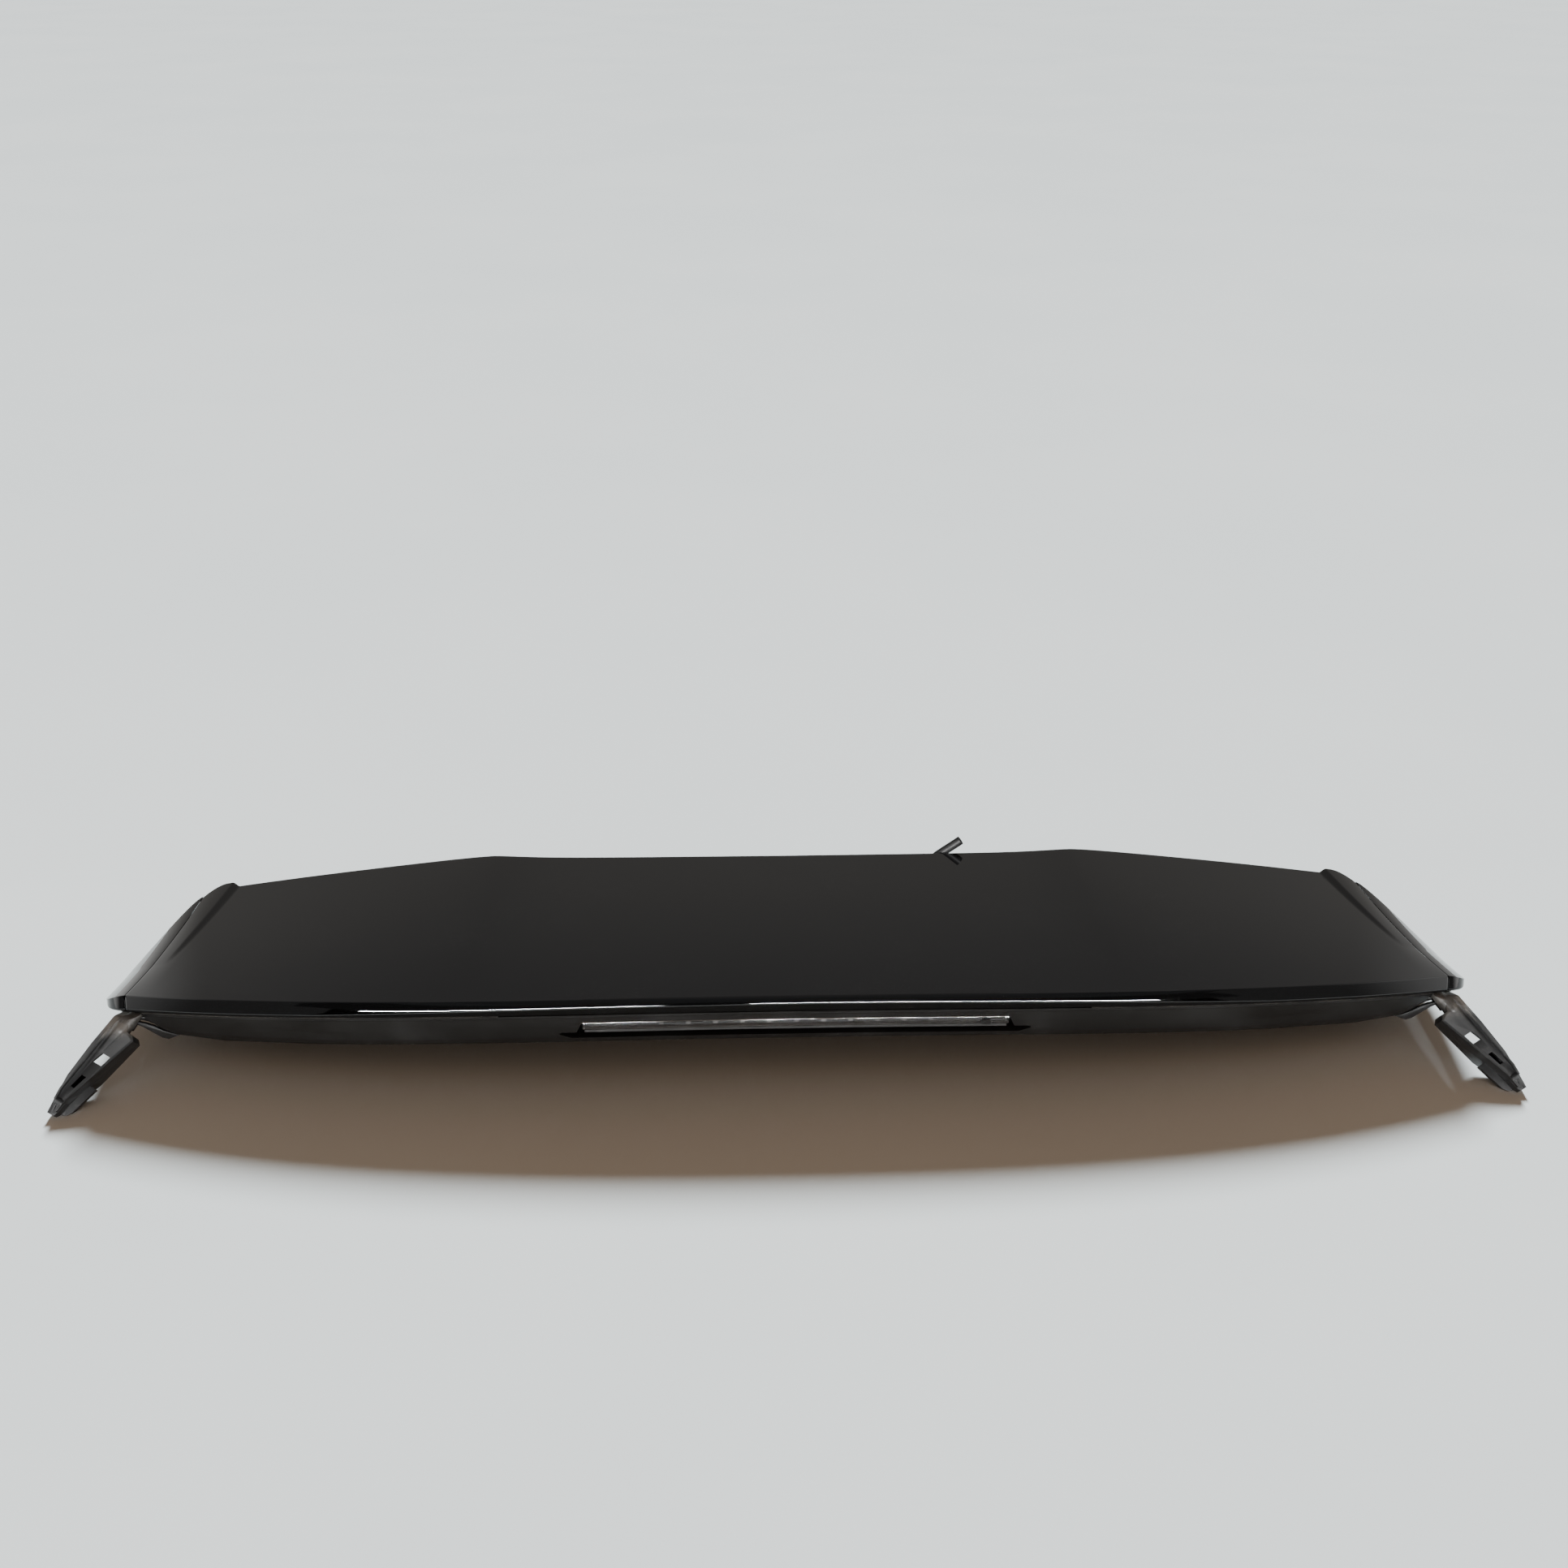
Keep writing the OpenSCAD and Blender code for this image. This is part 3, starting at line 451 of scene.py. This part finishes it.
FINISH.update(
    reflector=metal_finish("dull_reflector", (0.15, 0.147, 0.143), 0.45, EVEN),
    steel=metal_finish("plated_steel", (0.45, 0.45, 0.44), 0.32, TURNED),
    diode=diode_finish(),
)
print("finishes:", len(FINISH))

# %% [markdown]
# The stage is a plain pale floor, with a pale wall all round it and far off, so that a low view
# doesn't look past the floor into the brown tone of the air. It is not part of the object. A little
# tone and grain keeps the floor from looking like paper. The wall glows by itself and neither lights
# nor is mirrored in anything, so that it changes nothing but what stands behind the part.

# %% Floor and backdrop
FLOOR_SIZE, FLOOR_BELOW = 60, 0.0004
WALL_R, WALL_H, WALL_MIDDLE = 26, 30, 14.9


def floor_finish():
    floor = Finish("pale_bench")
    tone = floor.step(floor.noise(1.5, 4), 0.3, 0.7)
    return floor.set(
        Base_Color=floor.blend(tone, (0.70, 0.745, 0.755), (0.73, 0.77, 0.775)), Roughness=0.6,
        Specular_IOR_Level=0.15, Normal=floor.bump(floor.noise(300, 3), 0.05, 1.5 * FINE_RELIEF),
    ).material


def wall_finish():
    wall = Finish("pale_wall")
    patch = wall.step(wall.noise(0.1, 2), 0.3, 0.7)
    tone = wall.blend(patch, (0.60, 0.62, 0.625), (0.64, 0.66, 0.665))
    return wall.set(Base_Color=(0, 0, 0), Emission_Strength=1.0, Emission_Color=tone).material


def add_floor():
    pick(bench_camera)
    bpy.ops.mesh.primitive_plane_add(size=FLOOR_SIZE, location=(0, 0, -FLOOR_BELOW))
    floor = bpy.context.object
    floor.name = "pale_floor"
    bpy.ops.object.transform_apply(location=True)
    floor.data.materials.append(floor_finish())
    return floor


def add_backdrop():
    pick(bench_camera)
    bpy.ops.mesh.primitive_cylinder_add(vertices=96, radius=WALL_R, depth=WALL_H,
                                        end_fill_type="NOTHING", location=(0, 0, WALL_MIDDLE))
    wall = bpy.context.object
    wall.name = "pale_backdrop"
    bpy.ops.object.transform_apply(location=True)
    wall.data.materials.append(wall_finish())
    wall.visible_diffuse = wall.visible_glossy = wall.visible_shadow = wall.visible_transmission = False
    return wall


bench, backdrop = add_floor(), add_backdrop()
print("stage:", bench.name, backdrop.name)

# %% [markdown]
# Gloss paint is a mirror, so the light and the reflections are set up apart. A sun with a wide disc
# stands behind and above: it lights the floor evenly and throws the soft shadow towards the camera.
# The air adds a little warm light to that shadow. Both are kept out of reflections. Two slim strips
# far behind the camera give the white line along the nose, and the gap between them gives the dull
# patch in its middle. They add no light to matt surfaces, and have the same power for their length.

# %% Lights
AIR_TONE, AIR_STRENGTH = (1.0, 0.68, 0.46), 0.26
SUN_AT, SUN_DISC, SUN_ENERGY = (0.4, 4.0, 2.9), radians(13), 9.8
STRIPS = {"strip_left": (-1.85, -0.36), "strip_right": (-0.045, 1.69)}
STRIP_Y, STRIP_Z, STRIP_H, WATTS_PER_METRE = -3.3, 0.98, 0.035, 135
NOSE_AT_Y, NOSE_AT_Z = -0.15, 0.09


def put_light(name, kind, place, aim, **settings):
    light = bpy.data.objects.new(name, bpy.data.lights.new(name, kind))
    bpy.context.scene.collection.objects.link(light)
    for key, value in settings.items():
        setattr(light.data, key, value)
    light.location = place
    light.rotation_euler = (Vector(aim) - Vector(place)).to_track_quat("-Z", "Y").to_euler()
    return light


def set_world(tone, strength):
    world = bpy.data.worlds.new("studio_air")
    bpy.context.scene.world = world
    world.use_nodes = True
    world.node_tree.nodes["Background"].inputs["Color"].default_value = (*tone, 1)
    world.node_tree.nodes["Background"].inputs["Strength"].default_value = strength
    world.cycles_visibility.glossy = False


set_world(AIR_TONE, AIR_STRENGTH)
sun = put_light("high_sun", "SUN", SUN_AT, (0, 0, 0), energy=SUN_ENERGY, angle=SUN_DISC,
                color=(0.93, 0.98, 1.0))
sun.visible_glossy = False
for name, (start, end) in STRIPS.items():
    middle, length = (start + end) / 2, end - start
    strip = put_light(name, "AREA", (middle, STRIP_Y, STRIP_Z), (middle * 0.5, NOSE_AT_Y, NOSE_AT_Z),
                      shape="RECTANGLE", size=length, size_y=STRIP_H, energy=WATTS_PER_METRE * length)
    strip.visible_diffuse = False

# %% [markdown]
# The rest of what the paint shows is glowing cards that only reflections see, because a card can be
# placed and toned for one reflection without changing the light. The wall card stands just past the
# roof edge, and the panel mirrors its foot: it is dim behind the spoiler and pale beyond its ends,
# which lights up the caps. The overhead card and the front card, which is behind the camera, give
# the grey band on top of the nose. The side cards show in the faces that look sideways.

# %% Reflection cards
UPRIGHT, SIDE_ON = (radians(90), 0, 0), (radians(90), 0, radians(90))
SIDE_CARD = (4.4, 2.6)


def add_card(name, size, place, turn, colour):
    """A glowing card that only reflections see. colour gives its light from the card's own nodes."""
    pick(bench_camera)
    bpy.ops.mesh.primitive_plane_add(size=1)
    card = bpy.context.object
    card.name = name
    card.scale, card.rotation_euler, card.location = (*size, 1), turn, place
    bpy.ops.object.transform_apply(location=True, rotation=True, scale=True)
    glow = Finish(name + "_glow")
    glow.set(Base_Color=(0, 0, 0), Specular_IOR_Level=0.0, Emission_Strength=1.0,
             Emission_Color=colour(glow))
    card.data.materials.append(glow.material)
    card.visible_camera = card.visible_diffuse = card.visible_shadow = card.visible_transmission = False


def wall_tones(glow):
    """Dim behind the spoiler, darkest between 0.2 and 0.3 m up, and pale beyond its ends."""
    x, _, z = glow.xyz()
    foot, shade, upper = (0.26, 0.25, 0.235), (0.135, 0.132, 0.13), (0.30, 0.29, 0.28)
    low = glow.blend(glow.step(z, 0.02, 0.2), foot, shade)
    high = glow.blend(glow.step(z, 0.3, 0.8), low, upper)
    left = glow.blend(glow.step(-1 * x, 0.6, 0.775), high, (1.2, 1.2, 1.18))
    return glow.blend(glow.step(x, 0.6, 0.8), left, (0.6, 0.6, 0.59))


def cloudy_tones(darker, lighter):
    """An even grey that drifts a little between two tones."""
    return lambda glow: glow.blend(glow.step(glow.noise(0.8, 1), 0.3, 0.7), darker, lighter)


def side_tones(glow):
    """Bright beside the spoiler, and dimmer towards the camera's own corner."""
    y = glow.xyz()[1]
    return glow.blend(glow.step(y, -2.6, -0.9), (0.26, 0.26, 0.26), (3.0, 3.0, 2.97))


overhead_tones = cloudy_tones((0.19, 0.20, 0.21), (0.25, 0.26, 0.27))
front_tones = cloudy_tones((0.08, 0.082, 0.085), (0.12, 0.122, 0.125))
add_card("wall_card", (6, 1.6), (0, 0.30, 0.79), (radians(81), 0, 0), wall_tones)
add_card("overhead_card", (7, 7), (0, 0, 3.2), (pi, 0, 0), overhead_tones)
add_card("front_card", (7, 2.05), (0, -3.6, 2.275), UPRIGHT, front_tones)
add_card("left_card", SIDE_CARD, (-2.5, -1.8, 1.3), SIDE_ON, side_tones)
add_card("right_card", SIDE_CARD, (2.5, -1.8, 1.3), SIDE_ON, side_tones)

# %% [markdown]
# The skin is a double-curved moulding. Its edges are simple curves across the car: where the roof
# edge runs, where the nose crease runs, and how high each is. Between them the panel sags a little,
# two soft ridges fade towards the nose and a step, the ditch, fades the same way near each end.
# These are the CAD model's formulas and values, in millimetres, so that a dense smooth sheet can be
# laid where the coarser solid is. Only the ditch is drawn sharper here: a little higher, half as
# wide, and faded out sooner.

# %% The form of the skin
HALF, ORIGIN_Y = 570.0, 177.124
NOSE_Y, NOSE_SWEEP, NOSE_Z, NOSE_DROP = 28.5, 39, 94, 19
NOSE_H, NOSE_GROWTH, LIP_IN = 16, 2.5, 1.5
FRONT_Y, FRONT_SWEEP, FRONT_Z, FRONT_DROP, CORNER_R = 346, 28, 29, 16, 20
RIDGE_X, RIDGE_H, RIDGE_INNER, RIDGE_OUTER = 291.0, 6.5, 50, 110
DITCH_X, DITCH_H, DITCH_W, DITCH_LEAN, DITCH_END = 543.0, 5.4, 6.0, 22, 0.7
PANEL_SAG = 0.2
SIDE_FLARE, FLARE_RUN, FLARE_Y = 10, 230, 200


def clamp01(v):
    return max(0.0, min(1.0, v))


def ease(v):
    v = clamp01(v)
    return v * v * (3 - 2 * v)


def nose_y(x):
    return NOSE_Y + NOSE_SWEEP * (abs(x) / HALF) ** 3.2


def nose_z(x):
    return NOSE_Z - NOSE_DROP * (abs(x) / HALF) ** 2.2


def nose_h(x):
    return NOSE_H + NOSE_GROWTH * (abs(x) / HALF) ** 2


def front_y(x):
    sweep = clamp01((abs(x) - RIDGE_X) / (HALF - RIDGE_X)) ** 1.25
    corner = clamp01((abs(x) - HALF) / CORNER_R + 1) ** 2
    return FRONT_Y - FRONT_SWEEP * sweep - CORNER_R * corner


def front_z(x):
    return FRONT_Z - FRONT_DROP * (abs(x) / HALF) ** 3


def skin_z(x, y):
    """Height of the skin, where t runs from 0 at the roof edge to 1 at the nose crease."""
    front, low = front_y(x), front_z(x)
    t = clamp01((front - y) / (front - nose_y(x)))
    flank = RIDGE_INNER if abs(x) < RIDGE_X else RIDGE_OUTER
    ridge = RIDGE_H / (1 + (abs(abs(x) - RIDGE_X) / flank) ** 1.6)
    ditch = DITCH_H * clamp01(1 - t / DITCH_END) * ease((abs(x) - DITCH_X - DITCH_LEAN * t) / DITCH_W + 0.5)
    panel = low + (nose_z(x) - low) * ((1 - PANEL_SAG) * t + PANEL_SAG * t * t)
    return panel + ridge * (1 - t) ** 1.3 + ditch


def metres(x, y, z):
    """A point of the form, with the flare of the sides, in the frame's metres."""
    flare = 1 + SIDE_FLARE / FLARE_RUN * (y - FLARE_Y) / HALF
    return Vector((x * flare, y - ORIGIN_Y, z)) / 1000


print("nose height at the middle and the end:", nose_z(0), nose_z(HALF))

# %% [markdown]
# The profile at one station is a line of points: up the turned-down hem, round the roof edge,
# along the panel, round the nose and back in under it. The nose is round above and turns quickly
# into a flat undercut, so it shows a grey band, one white line, and then black, which the
# near-black finish under the nose deepens as painted shade. Points are packed closer where the
# line bends, so that reflections slide over it without steps.

# %% Skin profile
EDGE_R, HEM_H, RETURN_W = 3.6, 5.5, 12
NOSE_REACH = 5.0
TURN_FALL, TURN_FALL_GROWTH, TURN_FALL_X, TURN_FALL_MOST = 0.23, 0.2, 321, 0.55
TURN_DOWN, KNEE, UNDERCUT_START = Vector((-0.407, -0.914)), 1.3, 0.2


def profile_ys(front, back, count):
    """Row positions from front to back, packed towards the back."""
    return [front + (back - front) * (1 - (1 - i / count) ** 1.35) for i in range(count + 1)]


def bow(start, corner, end, count):
    """Points after start on a curve that sets off towards corner and comes from it into end."""
    shares = [(k + 1) / count for k in range(count)]
    return [(1 - b) ** 2 * start + 2 * b * (1 - b) * corner + b * b * end for b in shares]


def nose_curve(x, y, z, height, reach=NOSE_REACH):
    """The nose from the crease at y, z down to the lip: a top that is rounder in the middle of the
    car, a quick turn that lies some share of the height below the crease, and a flat undercut."""
    crease, lip = Vector((y, z)), Vector((y + LIP_IN, z - height))
    fall_share = min(TURN_FALL_MOST, TURN_FALL + TURN_FALL_GROWTH * (abs(x) / TURN_FALL_X) ** 2)
    turn = Vector((y - reach, z - height * fall_share))
    fall = turn - crease
    corner = turn - TURN_DOWN * fall.length_squared / (2 * fall.dot(TURN_DOWN))
    knee = turn + KNEE * TURN_DOWN
    lean = knee + (lip - knee) * UNDERCUT_START
    return bow(crease, corner, turn, 12) + bow(turn, knee, lean, 9) + bow(lean, (lean + lip) / 2, lip, 5)


def skin_profile(x):
    front, nose, top, height = front_y(x), nose_y(x), nose_z(x), nose_h(x)
    edge = skin_z(x, front)
    inner = skin_z(x, front - EDGE_R)
    line = [(front, edge - HEM_H), (front, edge - HEM_H + 1)]
    for degrees in range(0, 91, 15):
        turn = radians(degrees)
        line.append((front - EDGE_R * (1 - cos(turn)), edge - EDGE_R + (inner - edge + EDGE_R) * sin(turn)))
    line += [(y, skin_z(x, y)) for y in profile_ys(front - EDGE_R, nose, 54)[1:]]
    line += nose_curve(x, nose, top, height)
    return line + [(nose + LIP_IN + RETURN_W * k / 3, top - height) for k in (1, 2, 3)]


def spaced(*marks):
    """Stations from 0 out to the end, each mark being (where the span ends, its spacing)."""
    out, at = [0.0], 0.0
    for end, step in marks:
        count = max(1, round((end - at) / step))
        out += [at + (end - at) * (i + 1) / count for i in range(count)]
        at = end
    return out


half_line = spaced((240, 10), (340, 5), (536, 8), (568, 0.8), (570, 1))
STATIONS = [-x for x in reversed(half_line[1:])] + half_line
print("stations:", len(STATIONS), "profile points:", len(skin_profile(0)))

# %% [markdown]
# A flat grid is the start, and each of its crossings is moved onto the form. Extruding the profile
# station by station would give the same sheet with far more steps. Solidify then gives the sheet
# the wall of the moulding, inwards, and closes its rim. The faces under the nose are then picked by
# where they look, and take the near-black finish of the groove, which is painted shade.

# %% The painted skin
SKIN_T, RIM_BEVEL = 0.003, 0.0004
LOOKS_DOWN, NOSE_DEPTH = -0.03, 14


def lay_sheet(name, lines):
    """A grid with one column for each line of points and one row for each point along it."""
    rows = len(lines[0])
    pick(bench_camera)
    bpy.ops.mesh.primitive_grid_add(x_subdivisions=len(lines) - 1, y_subdivisions=rows - 1, size=2)
    sheet = bpy.context.object
    sheet.name = name
    if len(sheet.data.vertices) != len(lines) * rows:
        raise ValueError("the grid does not have one vertex for each point")
    for v in sheet.data.vertices:
        i = round((v.co.x + 1) / 2 * (len(lines) - 1))
        j = round((v.co.y + 1) / 2 * (rows - 1))
        v.co = lines[i][j]
    sheet.data.update()
    return sheet


def face_out(sheet, along):
    """Turns the faces over if, on the whole, they point against a direction."""
    if sum(p.normal.dot(along) * p.area for p in sheet.data.polygons) < 0:
        edit(sheet, bpy.ops.mesh.flip_normals)
    return sheet


def finish_piece(obj, slot, finish, *nodes):
    obj.data.materials.clear()
    obj.data.materials.append(FINISH[finish])
    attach(obj, "root")
    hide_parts(*nodes)
    print(obj.name, triangles(obj), "triangles")


skin_lines = [[metres(x, *point) for point in skin_profile(x)] for x in STATIONS]
paint_skin = face_out(lay_sheet("paint_skin", skin_lines), Vector((0, 0, 1)))
modify(paint_skin, "SOLIDIFY", thickness=SKIN_T, offset=-1, use_even_offset=True, use_rim=True)
modify(paint_skin, "BEVEL", width=RIM_BEVEL, segments=2, limit_method="ANGLE", angle_limit=radians(60))
round_off(paint_skin, 35)
finish_piece(paint_skin, "paint", "paint", "top_skin")
# The faces under the nose take the groove's near-black finish: painted shade.
paint_skin.data.materials.append(FINISH["groove"])
for face in paint_skin.data.polygons:
    x, y, _ = face.center * 1000
    if face.normal.z < LOOKS_DOWN and y + ORIGIN_Y < nose_y(x) + NOSE_DEPTH:
        face.material_index = 1
print("dark faces under the nose:", sum(face.material_index for face in paint_skin.data.polygons))

# %% [markdown]
# Each end cap is a shallow cup that closes the side of the skin. Its sections are closed lines that
# shrink and drop outwards, and the same lines, set in by the wall, make its hollow. One sheet runs
# from the tip over the outside, round the rim and down into the hollow, so the cup needs no
# modifier to give it a wall. At the tip and at the bottom of the hollow the line is pressed flat
# onto its own middle, which closes the sheet once its doubles are merged.

# %% Form of the end caps
CAP_W, CAP_T, SEAM = 25.5, 2.6, 0.7
FRONT_CUT, REAR_CUT, TOP_FALL = 160, 20.7, 11.5
CAP_H_FRONT, CAP_H_REAR, LOW_LIFT = 10, 18, 3
CAP_ROWS = 34


def cap_line(e, inset):
    """Points (y, z) of the cap's section at a share e of its width, set in by some millimetres."""
    front = front_y(HALF) - FRONT_CUT * e ** 1.6 - inset
    rear = nose_y(HALF) + REAR_CUT * e ** 3.5 + inset
    lip = rear + LIP_IN

    def top(y):
        return skin_z(HALF, y) - TOP_FALL * e ** 1.85 - inset

    def low(y):
        share = clamp01((front_y(HALF) - y) / (front_y(HALF) - nose_y(HALF)))
        height = CAP_H_FRONT + (CAP_H_REAR - CAP_H_FRONT) * share
        return skin_z(HALF, y) - height + LOW_LIFT * (e * share) ** 2 + inset

    line = [(y, top(y)) for y in (front + (rear - front) * i / CAP_ROWS for i in range(CAP_ROWS + 1))]
    line += nose_curve(HALF, rear, top(rear), top(rear) - low(rear), NOSE_REACH * (1 - e * e))[:-1]
    return line + [(y, low(y)) for y in (lip + (front - lip) * i / CAP_ROWS for i in range(CAP_ROWS + 1))]


def cap_section(e, inset=0.0, press=0.0):
    """The section as a closed line in metres, pressed towards its own middle by a share."""
    line = cap_line(e, inset)
    pairs = zip(line, reversed(line))
    line = [(y + (v - y) * press / 2, z + (w - z) * press / 2) for (y, z), (v, w) in pairs]
    return [metres(HALF + CAP_W * e, *point) for point in line + line[:1]]


TIP, RIM, CHAMFER, HOLLOW_END = 0.05, SEAM / CAP_W, 0.15, 0.64
tip_lines = [cap_section(1 - TIP * (1 - sin(radians(a))), press=1 - cos(radians(a)))
             for a in (90, 75, 60, 45, 30, 15)]
out_lines = [cap_section(RIM + (1 - TIP - RIM) * (1 - (i / 30) ** 1.5)) for i in range(30)]
rim_lines = [cap_section(RIM + CHAMFER / CAP_W), cap_section(RIM, CHAMFER)]
hollow_lines = [cap_section(RIM + (HOLLOW_END - RIM) * i / 6, CAP_T) for i in range(7)]
cap_lines = tip_lines + out_lines + rim_lines + hollow_lines + [cap_section(HOLLOW_END, CAP_T, 1)]
print("cap:", len(cap_lines), "lines of", len(cap_lines[0]), "points")

# %% [markdown]
# The two caps are mirror images, so one is made and the other is a mirrored copy with its own mesh.
# A negative scale turns a mesh inside out, so the copy's normals are worked out again.

# %% The caps and the mirrored copy
MERGE_POINTS = 1e-6
cap_right = lay_sheet("cap_right", cap_lines)
edit(cap_right, lambda: bpy.ops.mesh.remove_doubles(threshold=MERGE_POINTS),
     lambda: bpy.ops.mesh.normals_make_consistent(inside=False))
cap_left = bpy.data.objects.new("cap_left", cap_right.data.copy())
bpy.context.scene.collection.objects.link(cap_left)
cap_left.scale = (-1, 1, 1)
pick(cap_left)
bpy.ops.object.transform_apply(location=False, rotation=False, scale=True)
edit(cap_left, lambda: bpy.ops.mesh.normals_make_consistent(inside=False))
for cap, node in ((cap_right, "end_cap_right"), (cap_left, "end_cap_left")):
    round_off(cap, 35)
    finish_piece(cap, "paint", "paint", node)

# %% [markdown]
# The other mouldings already have their true shape in the CAD model, but its mesh is loose flat
# triangles. A copy with its triangles joined up lets the curved walls be shaded smoothly. Its flat
# areas are made single faces, which keeps it light. The price is that a large face with a notch or
# a hole in it may overlap itself when it is cut into triangles again, so the result wants a look.

# %% Merged copies of CAD nodes
MERGE_CAD, FLAT = 2e-6, radians(0.3)


def merged_copy(name, node):
    """A copy of a CAD node with its triangles joined up and its flat areas made single faces."""
    copy = bpy.data.objects.new(name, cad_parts[node].data.copy())
    bpy.context.scene.collection.objects.link(copy)
    pick(copy)
    if copy.data.has_custom_normals:
        bpy.ops.mesh.customdata_custom_splitnormals_clear()
    return edit(copy, lambda: bpy.ops.mesh.remove_doubles(threshold=MERGE_CAD),
                lambda: bpy.ops.mesh.dissolve_limited(angle_limit=FLAT))


# %% [markdown]
# The lower shell is one such copy. Just under the lip of the nose runs a ledge: its level part is
# the groove, which takes the near-black finish as painted shade, and the part that slopes down to
# the rear is the bead, painted lighter in dust-like patches except near the middle of the car as a
# painted highlight. Both are found by where a face lies and where it looks. Picking faces by their
# number would be shorter, and wrong as soon as the CAD mesh changes.

# %% The lower shell
LEDGE_BELOW, LEDGE_ABOVE, LEDGE_DEPTH = 4, 1, 30
GROOVE_LEVEL, BEAD_LEVEL, BEAD_LEAN, BEAD_FROM_X = 0.985, 0.8, -0.2, 250
shell = merged_copy("lower_shell_smooth", "lower_shell")
round_off(shell, 32)
finish_piece(shell, "satin_black", "satin", "lower_shell")
shell.data.materials.append(FINISH["bead"])
shell.data.materials.append(FINISH["groove"])
for face in shell.data.polygons:
    x, y, z = face.center * 1000
    over_lip = z - nose_z(x) + nose_h(x)
    on_ledge = -LEDGE_BELOW < over_lip < LEDGE_ABOVE and y + ORIGIN_Y < nose_y(x) + LEDGE_DEPTH
    # Groove faces take the near-black finish, which is painted shade; bead faces take the lighter one, a
    # painted highlight.
    if on_ledge and face.normal.z > GROOVE_LEVEL:
        face.material_index = 2
    elif on_ledge and face.normal.z > BEAD_LEVEL and face.normal.y < BEAD_LEAN and abs(x) > BEAD_FROM_X:
        face.material_index = 1
print("bead faces:", sum(face.material_index == 1 for face in shell.data.polygons),
      "groove faces:", sum(face.material_index == 2 for face in shell.data.polygons))

# %% [markdown]
# Each arm is a copy too, with a bevel on its sharp edges that takes the worn finish, wear and
# painted sheen, the second of the arm's two materials. The clamp keeps the bevel from running over
# the short edges of the curved walls, and it leaves the bevel very narrow.

# %% The arms
ARM_BEVEL = 0.0008
for side in ("left", "right"):
    arm = merged_copy("arm_" + side + "_moulding", "arm_" + side)
    modify(arm, "BEVEL", width=ARM_BEVEL, segments=2, limit_method="ANGLE", angle_limit=radians(38),
           material=1, miter_outer="MITER_ARC", use_clamp_overlap=True)
    round_off(arm, 38)
    finish_piece(arm, "arm_black", "arm", "arm_" + side)
    arm.data.materials.append(FINISH["worn"])

# %% [markdown]
# The lamp's tray, lens and reflector, the nozzle and the hose need nothing but smooth shading and a
# finish. All are made by one loop. The angle, chosen for each, says which of its edges stay sharp.

# %% Lamp, washer line and hose
for name, node, slot, finish, angle in (
    ("lens_bar", "lamp_lens", "lens_clear", "lens", 50),
    ("lamp_tray", "lamp_housing", "lamp_black", "housing", 30),
    ("reflector_cells", "lamp_reflector", "reflector", "reflector", 30),
    ("nozzle", "washer_nozzle", "lamp_black", "nozzle", 30),
    ("hose", "washer_hose", "hose_black", "hose", 40),
):
    piece = merged_copy(name, node)
    round_off(piece, angle)
    finish_piece(piece, slot, finish, node)

# %% [markdown]
# Everything else keeps its CAD mesh, because its shape is right as it is, and takes a finish.

# %% Finishes on the CAD nodes that stay
STAYING = {
    "lamp_board": "board", "lamp_diodes": "diode", "lamp_connector": "housing", "lamp_screws": "steel",
    "hose_clips": "clip", "mounting_studs": "steel", "stud_seals": "foam", "locating_pins": "clip",
    "front_seal": "foam", "cap_screws": "steel", "arm_screws": "steel", "shell_screws": "steel",
}
for node, finish in STAYING.items():
    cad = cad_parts[node]
    cad.data.materials.clear()
    cad.data.materials.append(FINISH[finish])
print("CAD nodes kept:", len(STAYING))
